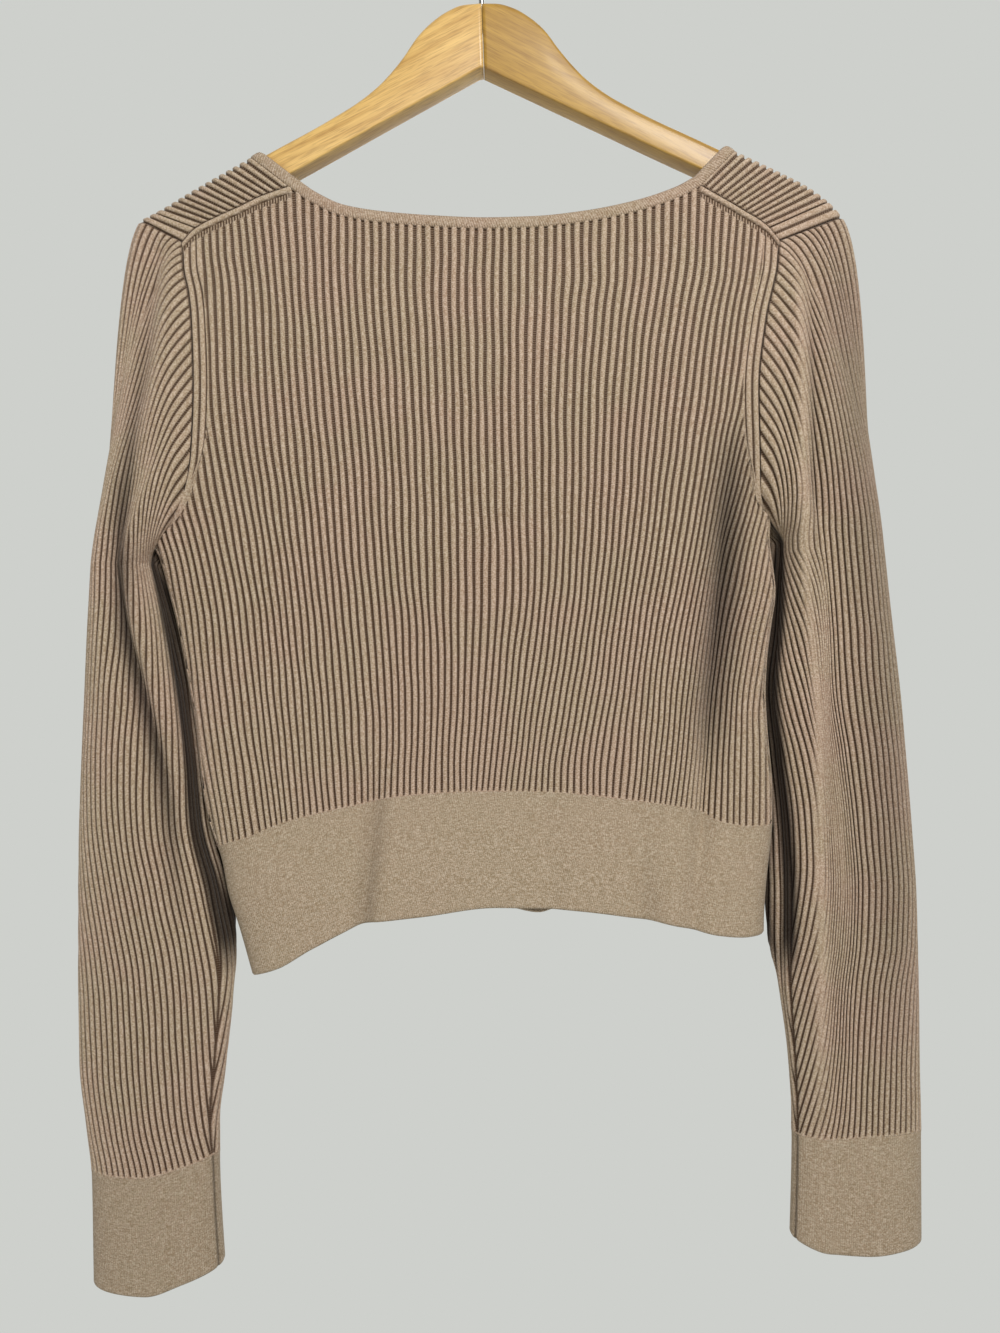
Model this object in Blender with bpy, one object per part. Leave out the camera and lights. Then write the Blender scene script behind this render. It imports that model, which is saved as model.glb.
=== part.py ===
"""A cropped knit sweater hanging on a wooden hanger.

Frame: metres, +Z up, the back of the garment towards -Y. The origin is the inside top of the hook's
crook, where the hanger hangs. Every size and table below is in millimetres and is scaled once, when
a mesh is made.

The cloth is a wall on a middle surface. The torso is a flattened tube of level sections, the sleeves
are tubes of rings that run up into the armholes, and the shoulder strips wrap over the hanger. Pieces
that meet at a seam take their edge from the same points and then draw back by half a seam gap.
"""
import math

import bmesh
import bpy
import numpy as np
from mathutils import Matrix, Vector

MM = 0.001
RIB_WALL = 2.0
BAND_WALL = 2.0
SEAM_GAP = 0.3
NECKBAND_WIDTH = 6.0
LEFT, RIGHT = -1, 1
BACK, FRONT = -1, 1

# Hanger, in its own level frame
HANGER_TILT = math.radians(2.0)
ARM_THICKNESS = 14.0
ARM_TOP_ROUND = 4.0
ARM_LOW_ROUND = 1.2
MITRE_X = 1.2
ARM_TOP = {
    LEFT: dict(
        x=(10, 20, 30, 38, 46, 54, 62, 75, 90, 105, 120, 142, 160, 180, 190),
        z=(-70.6, -74.4, -81.2, -89, -100, -109.4, -117.2, -126.8, -135.4, -143.3, -150.7, -161.8,
           -171.2, -182, -187.8)),
    RIGHT: dict(
        x=(10, 20, 30, 38, 46, 54, 62, 75, 90, 105, 120, 142, 160, 180, 190),
        z=(-70.4, -73.4, -79.7, -87.2, -98.6, -108.8, -117.4, -127.6, -136.6, -144.7, -152.2, -163.4,
           -172.8, -183.6, -189.4))}
ARM_APEX = -70.0
ARM_LOW = dict(x=(1.2, 60, 120, 180, 190), z=(-109.6, -139.8, -170.5, -199.5, -203.5))
ARM_END = dict(x=194.5, top=-192.5, low=-201, taper=1.5)
ARM_SLOPE = math.radians(27.5)
HOOK_WIRE = 3.6
HOOK_CROOK = 18.0
HOOK_SINK = 15.0
HOOK_BEND_Z = -58.0
HOOK_HOLE_SEGMENTS = 16
# Hook's bend into its crook, as shares of the crook's radius and heights, then the crook's arc in degrees
HOOK_BEND = ((0.2, -50.0), (0.52, -42.0))
HOOK_ARC = range(-35, 196, 15)

# The strip of cloth over each arm: half its flat top, the round beside it and its half thickness
SEAT = 0.5
STRIP_HALF_DEPTH = ARM_THICKNESS / 2 + SEAT + RIB_WALL / 2
STRIP_ROUND = ARM_TOP_ROUND + SEAT + RIB_WALL / 2
STRIP_FLAT = STRIP_HALF_DEPTH - STRIP_ROUND

# Middle line of the cloth along the top of each shoulder, from the sleeve to the neck
SHOULDER_TOP = {
    LEFT: dict(x=(-198.5, -190, -183.4, -173.6, -154, -133),
               z=(-200.6, -196.2, -192.5, -186.4, -175, -163.2)),
    RIGHT: dict(x=(217.5, 213, 205, 196.4, 186.2, 165.8, 153.5),
                z=(-198.5, -193, -186, -180.2, -174.8, -165, -159.3))}
# Seam on the back between the shoulder strip and the back panel, from the armhole to the neck
SHOULDER_SEAM = {
    LEFT: dict(x=(-173, -165.7, -151, -139, -127, -110), z=(-214, -206, -198.2, -192.8, -187, -181)),
    RIGHT: dict(x=(179, 171.5, 156.5, 144.6, 133), z=(-213.5, -204, -194, -187, -180.5))}

# Level sections of the torso: its outside edges below the arms, and its half depth in the middle
SIDES = dict(
    z=(-650, -620, -600, -580, -560, -540, -500, -480, -460, -440, -420, -405, -395, -389, -374),
    left=(-133, -141.5, -148, -152, -158.5, -163, -167.5, -171, -174.5, -178.5, -183.5, -187.5, -191,
          -195.5, -199),
    right=(172.5, 172.5, 173.5, 175.5, 177.5, 177.5, 174.5, 173.5, 174.5, 177, 179.5, 178, 176.5, 176, 176))
DEPTH = dict(z=(-650, -600, -560, -500, -400, -320, -260, -215, -160),
             middle=(16.5, 16, 14.5, 14, 14, 13, 11, STRIP_HALF_DEPTH, STRIP_HALF_DEPTH))
UNDERARM = {LEFT: (-195.5, -389.0), RIGHT: (176.0, -374.0)}
# Height over which the edge below the underarm moves in by half a wall, and how folds end at the sides
UNDERARM_EASE = 12.0
FOLD_END_POWER = 6
# Armhole seam on the back and on the front, by height
ARMHOLE = {
    (LEFT, BACK): dict(z=(-389, -380, -370, -355, -340, -300, -260, -245, -230, -214),
                       x=(-195.5, -183, -175, -169.5, -166.7, -164.7, -166.5, -168.5, -172, -173)),
    (RIGHT, BACK): dict(z=(-374, -369, -360, -340, -300, -260, -245, -230, -213.5),
                        x=(176, 171.5, 168.7, 167.5, 166, 170.5, 174, 177.5, 179)),
    (LEFT, FRONT): dict(z=(-389, -380, -365, -340, -300, -260, -230, -207),
                        x=(-195.5, -184, -176, -170.5, -171, -181, -191, -198.5)),
    (RIGHT, FRONT): dict(z=(-374, -366, -350, -330, -300, -260, -230, -205),
                         x=(176, 171, 167.5, 166.5, 171.5, 189, 204, 217.5))}
# Depth of the armhole seam and shape of the section's edge, by height above the underarm
ARMHOLE_RISE = dict(rise=(-60, -30, 0, 8, 20, 50, 90, 130, 160, 176),
                    edge=(0, 0, 0, 6, 11, 14.5, 16, 14, 10.5, STRIP_HALF_DEPTH),
                    flatness=(8, 8, 7, 6, 5, 3.6, 3, 3, 3, 3),
                    rounding=(0.5, 0.5, 0.5, 0.7, 0.85, 1, 1, 1, 1, 1))
# Soft folds of the torso: where each starts and ends, its depth and its half width
TORSO_FOLDS = (
    dict(face=BACK, x_top=153, z_top=-300, x_low=134, z_low=-500, depth=2.6, width=8, fade=60),
    dict(face=BACK, x_top=134, z_top=-500, x_low=131, z_low=-700, depth=3.2, width=8, fade=40),
    dict(face=BACK, x_top=-50, z_top=-500, x_low=-62, z_low=-700, depth=3.4, width=7, fade=60),
    dict(face=BACK, x_top=40, z_top=-520, x_low=47, z_low=-700, depth=1.6, width=9, fade=60),
    dict(face=FRONT, x_top=-140, z_top=-350, x_low=-114, z_low=-700, depth=3, width=11, fade=140),
    dict(face=FRONT, x_top=60, z_top=-470, x_low=72, z_low=-700, depth=3, width=8, fade=60),
    dict(face=FRONT, x_top=-10, z_top=-500, x_low=-16, z_low=-700, depth=1.8, width=10, fade=60))
# Hem, by place across the panel from -1 (left side seam) to 1
HEM = dict(
    place=(-1, -0.85, -0.7, -0.5, -0.25, 0, 0.14, 0.25, 0.5, 0.7, 0.8, 0.9, 1),
    seam=(-573, -566, -556.5, -548, -540.5, -538.3, -538.7, -539.5, -544.3, -550, -557, -559.5, -558.5),
    back=(-650, -642.5, -630, -616.5, -611, -606, -606.6, -607.5, -612.5, -619.5, -623, -624.5, -624),
    front=(-650, -640.5, -627, -614, -609.5, -612, -616.5, -611.5, -610, -617, -621, -623.5, -624))
# Neck edge of the panels: the back by x, the front by place across the neck from -1 to 1
BACK_NECK = dict(x=(-110, -97, -79, -55, -25, 5, 35, 65, 95, 121, 133),
                 z=(-181, -190, -198, -202, -204.4, -205.6, -204.8, -201.6, -195.6, -187, -180.5))
FRONT_NECK = dict(place=(0, 0.3, 0.55, 0.75, 0.88, 0.96, 1), drop=(1, 0.985, 0.93, 0.81, 0.62, 0.33, 0))
FRONT_NECK_DEPTH = 136.0

# Sleeve rings below the armhole: outside edges, half depths, where the seam lies, and the fold
SLEEVE = {
    LEFT: dict(
        z=(-830, -766, -740, -700, -650, -600, -560, -520, -480, -440, -405),
        outer=(-228.4, -229.6, -232.5, -237, -237.4, -237, -236, -234, -231.7, -229, -226),
        inner=(-150, -153.6, -154, -149.7, -145.5, -154, -165, -169.5, -175.8, -184, -194),
        near=(12.5, 12.5, 12.5, 12.5, 14, 17, 20, 23, 25, 27, 28),
        far=(12, 12, 12, 12, 13, 16, 18, 21, 24, 26, 27),
        seam=(-28, -28, -28, -28, -30, -26, -20, -14, -8, -4, 0),
        fold_x=(-178, -178, -176, -175, -175, -177.5, -179, -181.5, -189, -199, -206),
        fold_depth=(0, 0.4, 0.8, 1.2, 2, 3, 4, 6, 8, 9.5, 9.5),
        fold_inner=(9, 9, 9, 8, 7, 6, 5, 4.5, 4, 4, 4),
        fold_outer=(9, 9, 9, 9, 9, 9, 9, 10, 10, 9, 8)),
    RIGHT: dict(
        z=(-830, -741, -700, -650, -600, -560, -520, -480, -440, -392),
        outer=(267, 266.5, 265.5, 264.7, 263, 260, 256.5, 252.5, 247.5, 242),
        inner=(188, 190, 188.3, 185, 185.5, 184, 180.5, 177.5, 181, 184),
        near=(12.5, 12.5, 13, 15, 17, 19, 22, 25, 26, 26),
        far=(12, 12, 12, 14, 16, 18, 21, 24, 25, 25),
        seam=(-12, -12, -14, -14, -12, -10, -6, -4, -2, 0),
        fold_x=(214, 214, 212, 211, 210, 209, 208, 207, 206, 205),
        fold_depth=(1, 2, 3, 4, 5, 5.5, 6, 6, 6, 6),
        fold_inner=(7, 7, 6, 6, 6, 6, 6, 6, 6, 6),
        fold_outer=(16, 16, 16, 16, 16, 16, 15, 15, 14, 13))}
SLEEVE_FLATNESS = 2.3
SLEEVE_FOLD_EASE = 2.0
# Cuff edges by place round the sleeve: -1 at the seam, 0 at the outside, 1 back at the seam
CUFF = {
    LEFT: dict(place=(-1, -0.75, -0.5, -0.25, 0, 0.25, 0.5, 0.75, 1),
               seam=(-755, -761, -765.5, -765, -763, -761, -760, -757, -755),
               end=(-822, -829, -835.5, -834.5, -832, -826, -820, -818, -822)),
    RIGHT: dict(place=(-1, -0.75, -0.5, -0.25, 0, 0.25, 0.5, 0.75, 1),
                seam=(-743, -744, -741.5, -740.5, -741, -741, -741, -742, -743),
                end=(-806, -811.5, -812, -810, -806.5, -803, -801, -802, -806))}
# How the cloth of the cap leaves the sleeve ring and reaches the armhole: pulls in mm
CAP_LEAN = 20.0
CAP_SIDE_PULL = {LEFT: 45.0, RIGHT: 30.0}
CAP_UP_PULL = 62.0
CAP_ROUND_PULL = 16.0
CAP_SIDE_LEAST = 0.25
CAP_UNDERARM_EASE = 4.0
# The armhole seam's wall: share of its height over which it turns to its face, and its lean outwards
SEAM_TURN_SHARE = 0.3
SEAM_LEAN = 0.2

# Mesh steps
ROWS_BODY = 11
ROWS_ARMHOLE = 8
ROWS_STRIP = 2
ROWS_BAND = 3
ROWS_CAP = 6
ROWS_SLEEVE = 11
STRIP_PLACES = (0, 0.2, 0.42, 0.7, 1)
ROUND_OVER = (90, 45, 0)
BACK_NECK_PLACES = (0, 0.05, 0.12, 0.2, 0.3, 0.4, 0.5, 0.6, 0.7, 0.8, 0.88, 0.95, 1)
FRONT_NECK_PLACES = (0, 0.02, 0.06, 0.13, 0.22, 0.35, 0.5, 0.6, 0.7, 0.8, 0.88, 0.94, 0.98, 1)
ARM_ROUND_DEGREES = (0, 30, 60, 90)
SECTION_SAMPLES = 160
DIFFERENCE = 0.01
MITRE_LEAST = 0.15
NECK_CENTRE_LIFT = 20.0
SHARP_ANGLE = math.radians(50)

MATERIALS = {
    "ribbed_knit": dict(colour=(0.46, 0.33, 0.25), roughness=0.9, metallic=0.0),
    "smooth_knit": dict(colour=(0.50, 0.37, 0.28), roughness=0.9, metallic=0.0),
    "lacquered_wood": dict(colour=(0.66, 0.42, 0.17), roughness=0.35, metallic=0.0),
    "steel_wire": dict(colour=(0.6, 0.6, 0.6), roughness=0.25, metallic=1.0)}


def smooth_through(knots, values):
    """Return a function that runs smoothly through values at knots, and stays level past the ends."""
    order = np.argsort(knots)
    at = np.asarray(knots, float)[order]
    value = np.asarray(values, float)[order]
    step = np.diff(at)
    rise = np.diff(value) / step
    before, after = rise[:-1], rise[1:]
    same_way = before * after > 0
    slope = np.zeros(len(at))
    slope[1:-1][same_way] = 2 * (before * after)[same_way] / (before + after)[same_way]
    slope[0], slope[-1] = rise[0], rise[-1]

    def read(x):
        x = np.clip(x, at[0], at[-1])
        i = np.clip(np.searchsorted(at, x, side="right") - 1, 0, len(step) - 1)
        t = (x - at[i]) / step[i]
        held = value[i] * (1 + 2 * t) * (1 - t) ** 2 + value[i + 1] * t * t * (3 - 2 * t)
        turned = slope[i] * t * (1 - t) ** 2 - slope[i + 1] * t * t * (1 - t)
        return held + turned * step[i]

    return read


def columns(table, key):
    """Return one smooth function for each other column of a table."""
    return {name: smooth_through(table[key], values) for name, values in table.items() if name != key}


sides = columns(SIDES, "z")
depth = columns(DEPTH, "z")
armhole_x = {place: columns(table, "z")["x"] for place, table in ARMHOLE.items()}
rising = columns(ARMHOLE_RISE, "rise")
hem = columns(HEM, "place")
back_neck = columns(BACK_NECK, "x")["z"]
front_neck = columns(FRONT_NECK, "place")["drop"]
sleeve_ring = {side: columns(table, "z") for side, table in SLEEVE.items()}
cuff = {side: columns(table, "place") for side, table in CUFF.items()}


def unit(vector):
    """Return the vector at length one."""
    return vector / np.linalg.norm(vector)


def along(points, fractions):
    """Return the points at the given fractions of a polyline's length."""
    steps = np.linalg.norm(np.diff(points, axis=0), axis=1)
    reach = np.concatenate(([0], np.cumsum(steps)))
    at = np.asarray(fractions) * reach[-1]
    return np.stack([np.interp(at, reach, points[:, k]) for k in range(points.shape[1])], axis=-1)


# ---------------------------------------------------------------- torso

def edge_x(side, face, z):
    """Return where the middle surface ends at height z: at the side seam or at the armhole seam."""
    if z <= UNDERARM[side][1]:
        outline = sides["left" if side == LEFT else "right"](z)
        blend = min(1.0, (UNDERARM[side][1] - z) / UNDERARM_EASE)
        return outline - side * RIB_WALL / 2 * blend
    return armhole_x[side, face](z)


def fold_depth(face, x, z):
    """Return how far the soft folds push the torso's cloth inwards at x and z."""
    total = 0.0
    for fold in TORSO_FOLDS:
        if fold["face"] != face or z > fold["z_top"] or z < fold["z_low"]:
            continue
        way = (fold["z_top"] - z) / (fold["z_top"] - fold["z_low"])
        middle = fold["x_top"] + way * (fold["x_low"] - fold["x_top"])
        rise = min(1.0, (fold["z_top"] - z) / fold["fade"])
        swell = rise * rise * (3 - 2 * rise)
        total = total + fold["depth"] * swell * np.exp(-((x - middle) / fold["width"]) ** 2)
    return total


def torso_section(face, z):
    """Return the level section of one panel at height z, from its left edge to its right edge."""
    left, right = edge_x(LEFT, face, z), edge_x(RIGHT, face, z)
    place = -np.cos(np.linspace(0, math.pi, SECTION_SAMPLES))
    x = left + (right - left) * (place + 1) / 2
    middle = depth["middle"](z)
    y = np.zeros_like(x)
    for side in (LEFT, RIGHT):
        rise = z - UNDERARM[side][1]
        edge = float(rising["edge"](rise))
        crown = 1 - np.abs(place) ** rising["flatness"](rise)
        half = np.sign(place) == side
        y[half] = edge + (middle - edge) * np.maximum(crown, 0)[half] ** rising["rounding"](rise)
    free = 1 - np.abs(place) ** FOLD_END_POWER
    y = y - fold_depth(face, x, z) * free
    return np.stack([x, face * y], axis=1)


def torso_point(face, place, z):
    """Return the middle surface at a place across the panel, from -1 to 1, and at height z."""
    flat = along(torso_section(face, z), [(place + 1) / 2])[0]
    return np.array([flat[0], flat[1], z])


def torso_normal(face, place, z):
    """Return the outward direction of the torso's middle surface."""
    low, high = max(-1, place - DIFFERENCE), min(1, place + DIFFERENCE)
    across = torso_point(face, high, z) - torso_point(face, low, z)
    up = torso_point(face, place, z + 1) - torso_point(face, place, z - 1)
    return unit(np.cross(across, up) * -face)


# ---------------------------------------------------------------- shoulders

def shoulder_line(side):
    """Return the direction of the shoulder from the sleeve to the neck, and the way down from it."""
    x, z = SHOULDER_TOP[side]["x"], SHOULDER_TOP[side]["z"]
    inwards = unit(np.array([x[-1] - x[0], 0, z[-1] - z[0]]))
    return inwards, np.array([inwards[2] * -side, 0, -abs(inwards[0])])


def strip_top(side, place):
    """Return the top of the shoulder strip, from 0 at the sleeve to 1 at the neck."""
    x, z = SHOULDER_TOP[side]["x"], SHOULDER_TOP[side]["z"]
    at = x[0] + place * (x[-1] - x[0])
    return np.array([at, 0, smooth_through(x, z)(at)])


def strip_seam(side, place):
    """Return the back shoulder seam at a place from 0 at the armhole to 1 at the neck."""
    x, z = SHOULDER_SEAM[side]["x"], SHOULDER_SEAM[side]["z"]
    at = x[0] + place * (x[-1] - x[0])
    return np.array([at, -STRIP_HALF_DEPTH, smooth_through(x, z)(at)])


def strip_round(side, place, face, degrees):
    """Return a point and direction on the round of the strip: 0 is its flat top, 90 is upright."""
    angle = math.radians(degrees)
    top = strip_top(side, place)
    inwards, down = shoulder_line(side)
    drop = STRIP_ROUND * (1 - math.cos(angle))
    if face == BACK:
        slant = strip_seam(side, place) - top
        slant[1] = 0
    else:
        slant = np.array([0, 0, -1.0])
    point = top + slant * drop / np.dot(slant, down)
    point[1] = face * (STRIP_FLAT + STRIP_ROUND * math.sin(angle))
    normal = -down * math.cos(angle) + np.array([0, face * math.sin(angle), 0])
    return point, unit(normal)


def strip_path(side, place):
    """Return the strip from the front, over the shoulder, to the back seam: points and directions."""
    front = [strip_round(side, place, FRONT, a) for a in ROUND_OVER]
    back = [strip_round(side, place, BACK, a) for a in reversed(ROUND_OVER)]
    start, end = back[-1][0], strip_seam(side, place)
    flat = [(start + (end - start) * (k + 1) / ROWS_STRIP, np.array([0, -1.0, 0])) for k in range(ROWS_STRIP)]
    return front + back + flat


# ---------------------------------------------------------------- armholes

def seam_direction(side, face, share):
    """Return the direction of the armhole seam's wall: down at the underarm, then out to its face."""
    turn = min(1.0, share / SEAM_TURN_SHARE)
    angle = math.pi / 2 * turn * turn * (3 - 2 * turn)
    return unit(np.array([side * SEAM_LEAN * math.sin(angle), face * math.sin(angle), -math.cos(angle)]))


def armhole_side(side, face, top_z):
    """Return the armhole seam from the underarm up to top_z on one face."""
    low = UNDERARM[side][1]
    stations = []
    for row in range(ROWS_ARMHOLE + 1):
        share = row / ROWS_ARMHOLE
        z = low + (top_z - low) * share
        y = face * float(rising["edge"](z - low))
        point = np.array([float(armhole_x[side, face](z)), y, z])
        stations.append((point, seam_direction(side, face, share)))
    return stations


def armhole_loop(side):
    """Return the whole armhole seam, from the underarm up the back and down the front."""
    strip = strip_path(side, 0)
    back = armhole_side(side, BACK, strip[-1][0][2])
    front = armhole_side(side, FRONT, strip[0][0][2])
    back[-1] = (strip[-1][0], unit(back[-1][1] + strip[-1][1]))
    front[-1] = (strip[0][0], unit(front[-1][1] + strip[0][1]))
    return back + strip[-2:0:-1] + front[::-1]


# ---------------------------------------------------------------- panels

def panel_heights(seam_z, underarm_z, top_z):
    """Return the heights of a panel column: below the underarm, then above it."""
    low = np.linspace(seam_z, underarm_z, ROWS_BODY + 1)
    high = np.linspace(underarm_z, top_z, ROWS_ARMHOLE + 1)
    return np.concatenate([low, high[1:]])


def underarm_height(place):
    """Return the level at which a panel column passes the underarms."""
    left, right = UNDERARM[LEFT][1], UNDERARM[RIGHT][1]
    return left + (right - left) * (place + 1) / 2


def back_columns():
    """Return each column of the back panel: its place, its top height and its top point."""
    x_left, x_right = SHOULDER_SEAM[LEFT]["x"], SHOULDER_SEAM[RIGHT]["x"]
    middle, half = (x_left[0] + x_right[0]) / 2, (x_right[0] - x_left[0]) / 2
    tops = [strip_seam(LEFT, place) for place in STRIP_PLACES]
    for share in BACK_NECK_PLACES[1:-1]:
        x = x_left[-1] + share * (x_right[-1] - x_left[-1])
        tops.append(np.array([x, -STRIP_HALF_DEPTH, float(back_neck(x))]))
    tops += [strip_seam(RIGHT, place) for place in reversed(STRIP_PLACES)]
    return [((top[0] - middle) / half, top) for top in tops]


def back_grid():
    """Return the back panel's middle surface: rows of points and directions."""
    facing = np.array([0, -1.0, 0])
    loops = {side: armhole_side(side, BACK, strip_seam(side, 0)[2]) for side in (LEFT, RIGHT)}
    grid = []
    for place, top in back_columns():
        column = []
        for row, z in enumerate(panel_heights(hem["seam"](place), underarm_height(place), top[2])):
            column.append((torso_point(BACK, place, z), torso_normal(BACK, place, z)))
        column[-1] = (top, facing)
        grid.append(column)
    for side, column in ((LEFT, grid[0]), (RIGHT, grid[-1])):
        close_side(side, column)
        column[ROWS_BODY:] = loops[side]
        column[-1] = armhole_loop(side)[ROWS_ARMHOLE]
    return [[column[row] for column in grid] for row in range(len(grid[0]))]


def close_side(side, column):
    """Set a panel's side edge below the underarm on the side seam, facing straight out."""
    for row in range(ROWS_BODY):
        point = column[row][0].copy()
        point[1] = 0
        column[row] = (point, np.array([float(side), 0, 0]))


def front_columns():
    """Return each column of the front panel: its place, its top height and whether it is a strip."""
    far_left, far_right = strip_top(LEFT, 0)[0], strip_top(RIGHT, 0)[0]
    middle, half = (far_left + far_right) / 2, (far_right - far_left) / 2
    neck_left, neck_right = strip_top(LEFT, 1), strip_top(RIGHT, 1)
    result = []
    for place in STRIP_PLACES:
        start = strip_path(LEFT, place)[0][0]
        result.append(((start[0] - middle) / half, start[2], (LEFT, place)))
    neck_z = {side: strip_path(side, 1)[0][0][2] for side in (LEFT, RIGHT)}
    for share in FRONT_NECK_PLACES[1:-1]:
        x = neck_left[0] + share * (neck_right[0] - neck_left[0])
        rim = neck_z[LEFT] + share * (neck_z[RIGHT] - neck_z[LEFT])
        drop = FRONT_NECK_DEPTH * float(front_neck(abs(2 * share - 1)))
        result.append(((x - middle) / half, rim - drop, None))
    for place in reversed(STRIP_PLACES):
        start = strip_path(RIGHT, place)[0][0]
        result.append(((start[0] - middle) / half, start[2], (RIGHT, place)))
    return result


def front_grid():
    """Return the front panel's middle surface, with no points where the neck is open."""
    strip_rows = len(strip_path(LEFT, 0)) - 1
    loops = {side: armhole_side(side, FRONT, strip_path(side, 0)[0][0][2]) for side in (LEFT, RIGHT)}
    grid = []
    for place, top_z, strip in front_columns():
        column = []
        for z in panel_heights(hem["seam"](place), underarm_height(place), top_z):
            column.append((torso_point(FRONT, place, z), torso_normal(FRONT, place, z)))
        if strip:
            path = strip_path(*strip)
            column[-1] = path[0]
            column += path[1:]
        else:
            column += [None] * strip_rows
        grid.append(column)
    for side, column in ((LEFT, grid[0]), (RIGHT, grid[-1])):
        close_side(side, column)
        column[ROWS_BODY:ROWS_BODY + ROWS_ARMHOLE + 1] = loops[side]
        over = armhole_loop(side)[ROWS_ARMHOLE:ROWS_ARMHOLE + strip_rows + 1]
        column[ROWS_BODY + ROWS_ARMHOLE:] = over[::-1]
    return [[column[row] for column in grid] for row in range(len(grid[0]))]


def hem_grid(face, places):
    """Return the hem band of one face, from its lower edge up to the hem seam."""
    rows = []
    for share in np.linspace(0, 1, ROWS_BAND + 1):
        row = []
        for place in places:
            low = hem["back" if face == BACK else "front"](place)
            z = low + (hem["seam"](place) - low) * share
            point, normal = torso_point(face, place, z), torso_normal(face, place, z)
            if abs(place) > 1 - 1e-6:
                point[1] = 0
                normal = np.array([round(place), 0.0, 0.0])
            row.append((point, normal))
        rows.append(row)
    return rows


# ---------------------------------------------------------------- sleeves

def ring_line(side, z):
    """Return a level ring of the sleeve, from the seam round the back, the outside and the front."""
    read = sleeve_ring[side]
    outer, inner = float(read["outer"](z)), float(read["inner"](z))
    middle = (outer + inner) / 2
    half = abs(outer - inner) / 2 - RIB_WALL / 2
    start = math.radians(float(read["seam"](z)))
    turn = start - np.linspace(0, 2 * math.pi, SECTION_SAMPLES)
    power = 2 / SLEEVE_FLATNESS
    x = middle - side * half * np.sign(np.cos(turn)) * np.abs(np.cos(turn)) ** power
    near, far = float(read["near"](z)), float(read["far"](z))
    y = np.sign(np.sin(turn)) * np.abs(np.sin(turn)) ** power
    fold_x = float(read["fold_x"](z))
    towards_body = (x - fold_x) * -side > 0
    width = np.where(towards_body, read["fold_inner"](z), read["fold_outer"](z))
    dent = float(read["fold_depth"](z)) * np.exp(-((x - fold_x) / width) ** 2)
    y = np.where(y < 0, y * near + dent * np.minimum(1, -y * SLEEVE_FOLD_EASE), y * far)
    return np.stack([x, y, np.full_like(x, z)], axis=1)


def loop_shares(side):
    """Return the length shares of the armhole loop's points, from -1 at the underarm round to 1."""
    points = np.array([point for point, normal in armhole_loop(side)])
    reach = np.concatenate(([0], np.cumsum(np.linalg.norm(np.diff(points, axis=0), axis=1))))
    return 2 * reach / reach[-1] - 1


def arm_grids(side):
    """Return the middle surfaces of the cuff and of the sleeve, each from its lower edge up."""
    places = loop_shares(side)
    top_ring_z = SLEEVE[side]["z"][-1]
    ends = [float(cuff[side]["end"](place)) for place in places]
    seams = [float(cuff[side]["seam"](place)) for place in places]
    levels = [np.array(ends) + share * np.subtract(seams, ends) for share in np.linspace(0, 1, ROWS_BAND + 1)]
    levels += [np.array(seams) + share * (top_ring_z - np.array(seams))
               for share in np.linspace(0, 1, ROWS_SLEEVE + 1)[1:]]
    rows = [[along(ring_line(side, z), [(place + 1) / 2])[0] for place, z in zip(places, level)]
            for level in levels]
    ring = rows[-1]
    seam = armhole_loop(side)
    for share in np.linspace(0, 1, ROWS_CAP + 1)[1:]:
        rows.append([cap_point(side, ring[k], seam[k], places[k], share) for k in range(len(places))])
    grid = with_directions(rows)
    grid[-1] = seam[:-1] + [seam[0]]
    return grid[:ROWS_BAND + 1], grid[ROWS_BAND:]


def cap_point(side, start, seam, place, share):
    """Return a point of the sleeve cap on its way from the ring to the armhole seam."""
    end, direction = seam
    near_top = 1 - abs(place)
    rise = np.array([-side * CAP_LEAN * near_top, 0, (end - start)[2]])
    face = -1 if place < 0 else 1
    sideways = CAP_SIDE_PULL[side] * (CAP_SIDE_LEAST + (1 - CAP_SIDE_LEAST) * near_top)
    arrive = np.array([-side * sideways, 0, CAP_UP_PULL * near_top])
    arrive[1] = -face * CAP_ROUND_PULL * (1 - near_top) * min(1, CAP_UNDERARM_EASE * near_top)
    t = share
    return (start * (1 + 2 * t) * (1 - t) ** 2 + rise * t * (1 - t) ** 2
            + end * t * t * (3 - 2 * t) - arrive * t * t * (1 - t))


def with_directions(rows):
    """Give each point of a closed tube of rows its outward direction."""
    points = np.array(rows)
    ring = points[:, :-1]
    around = np.roll(ring, -1, axis=1) - np.roll(ring, 1, axis=1)
    up = np.gradient(ring, axis=0)
    normals = np.cross(around, up)
    normals /= np.linalg.norm(normals, axis=2, keepdims=True)
    outwards = np.sum(normals * (ring - ring.mean(axis=1, keepdims=True)), axis=(1, 2))
    normals *= np.sign(outwards)[:, None, None]
    normals = np.concatenate([normals, normals[:, :1]], axis=1)
    return [[(p, n) for p, n in zip(*pair)] for pair in zip(points, normals)]


# ---------------------------------------------------------------- neckband

def neck_loop():
    """Return the neck edge of the panels: along the back, over the right shoulder, and round."""
    back, front = back_grid(), front_grid()
    first, last = len(STRIP_PLACES) - 1, -len(STRIP_PLACES)
    join = ROWS_BODY + ROWS_ARMHOLE
    along_back = back[-1][first:last + 1]
    up_left = [row[first] for row in front[join:]]
    up_right = [row[last] for row in front[join:]]
    along_front = front[join][first:last + 1]
    return along_back[:-1] + up_right[:0:-1] + along_front[:0:-1] + up_left[:-1]


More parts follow.
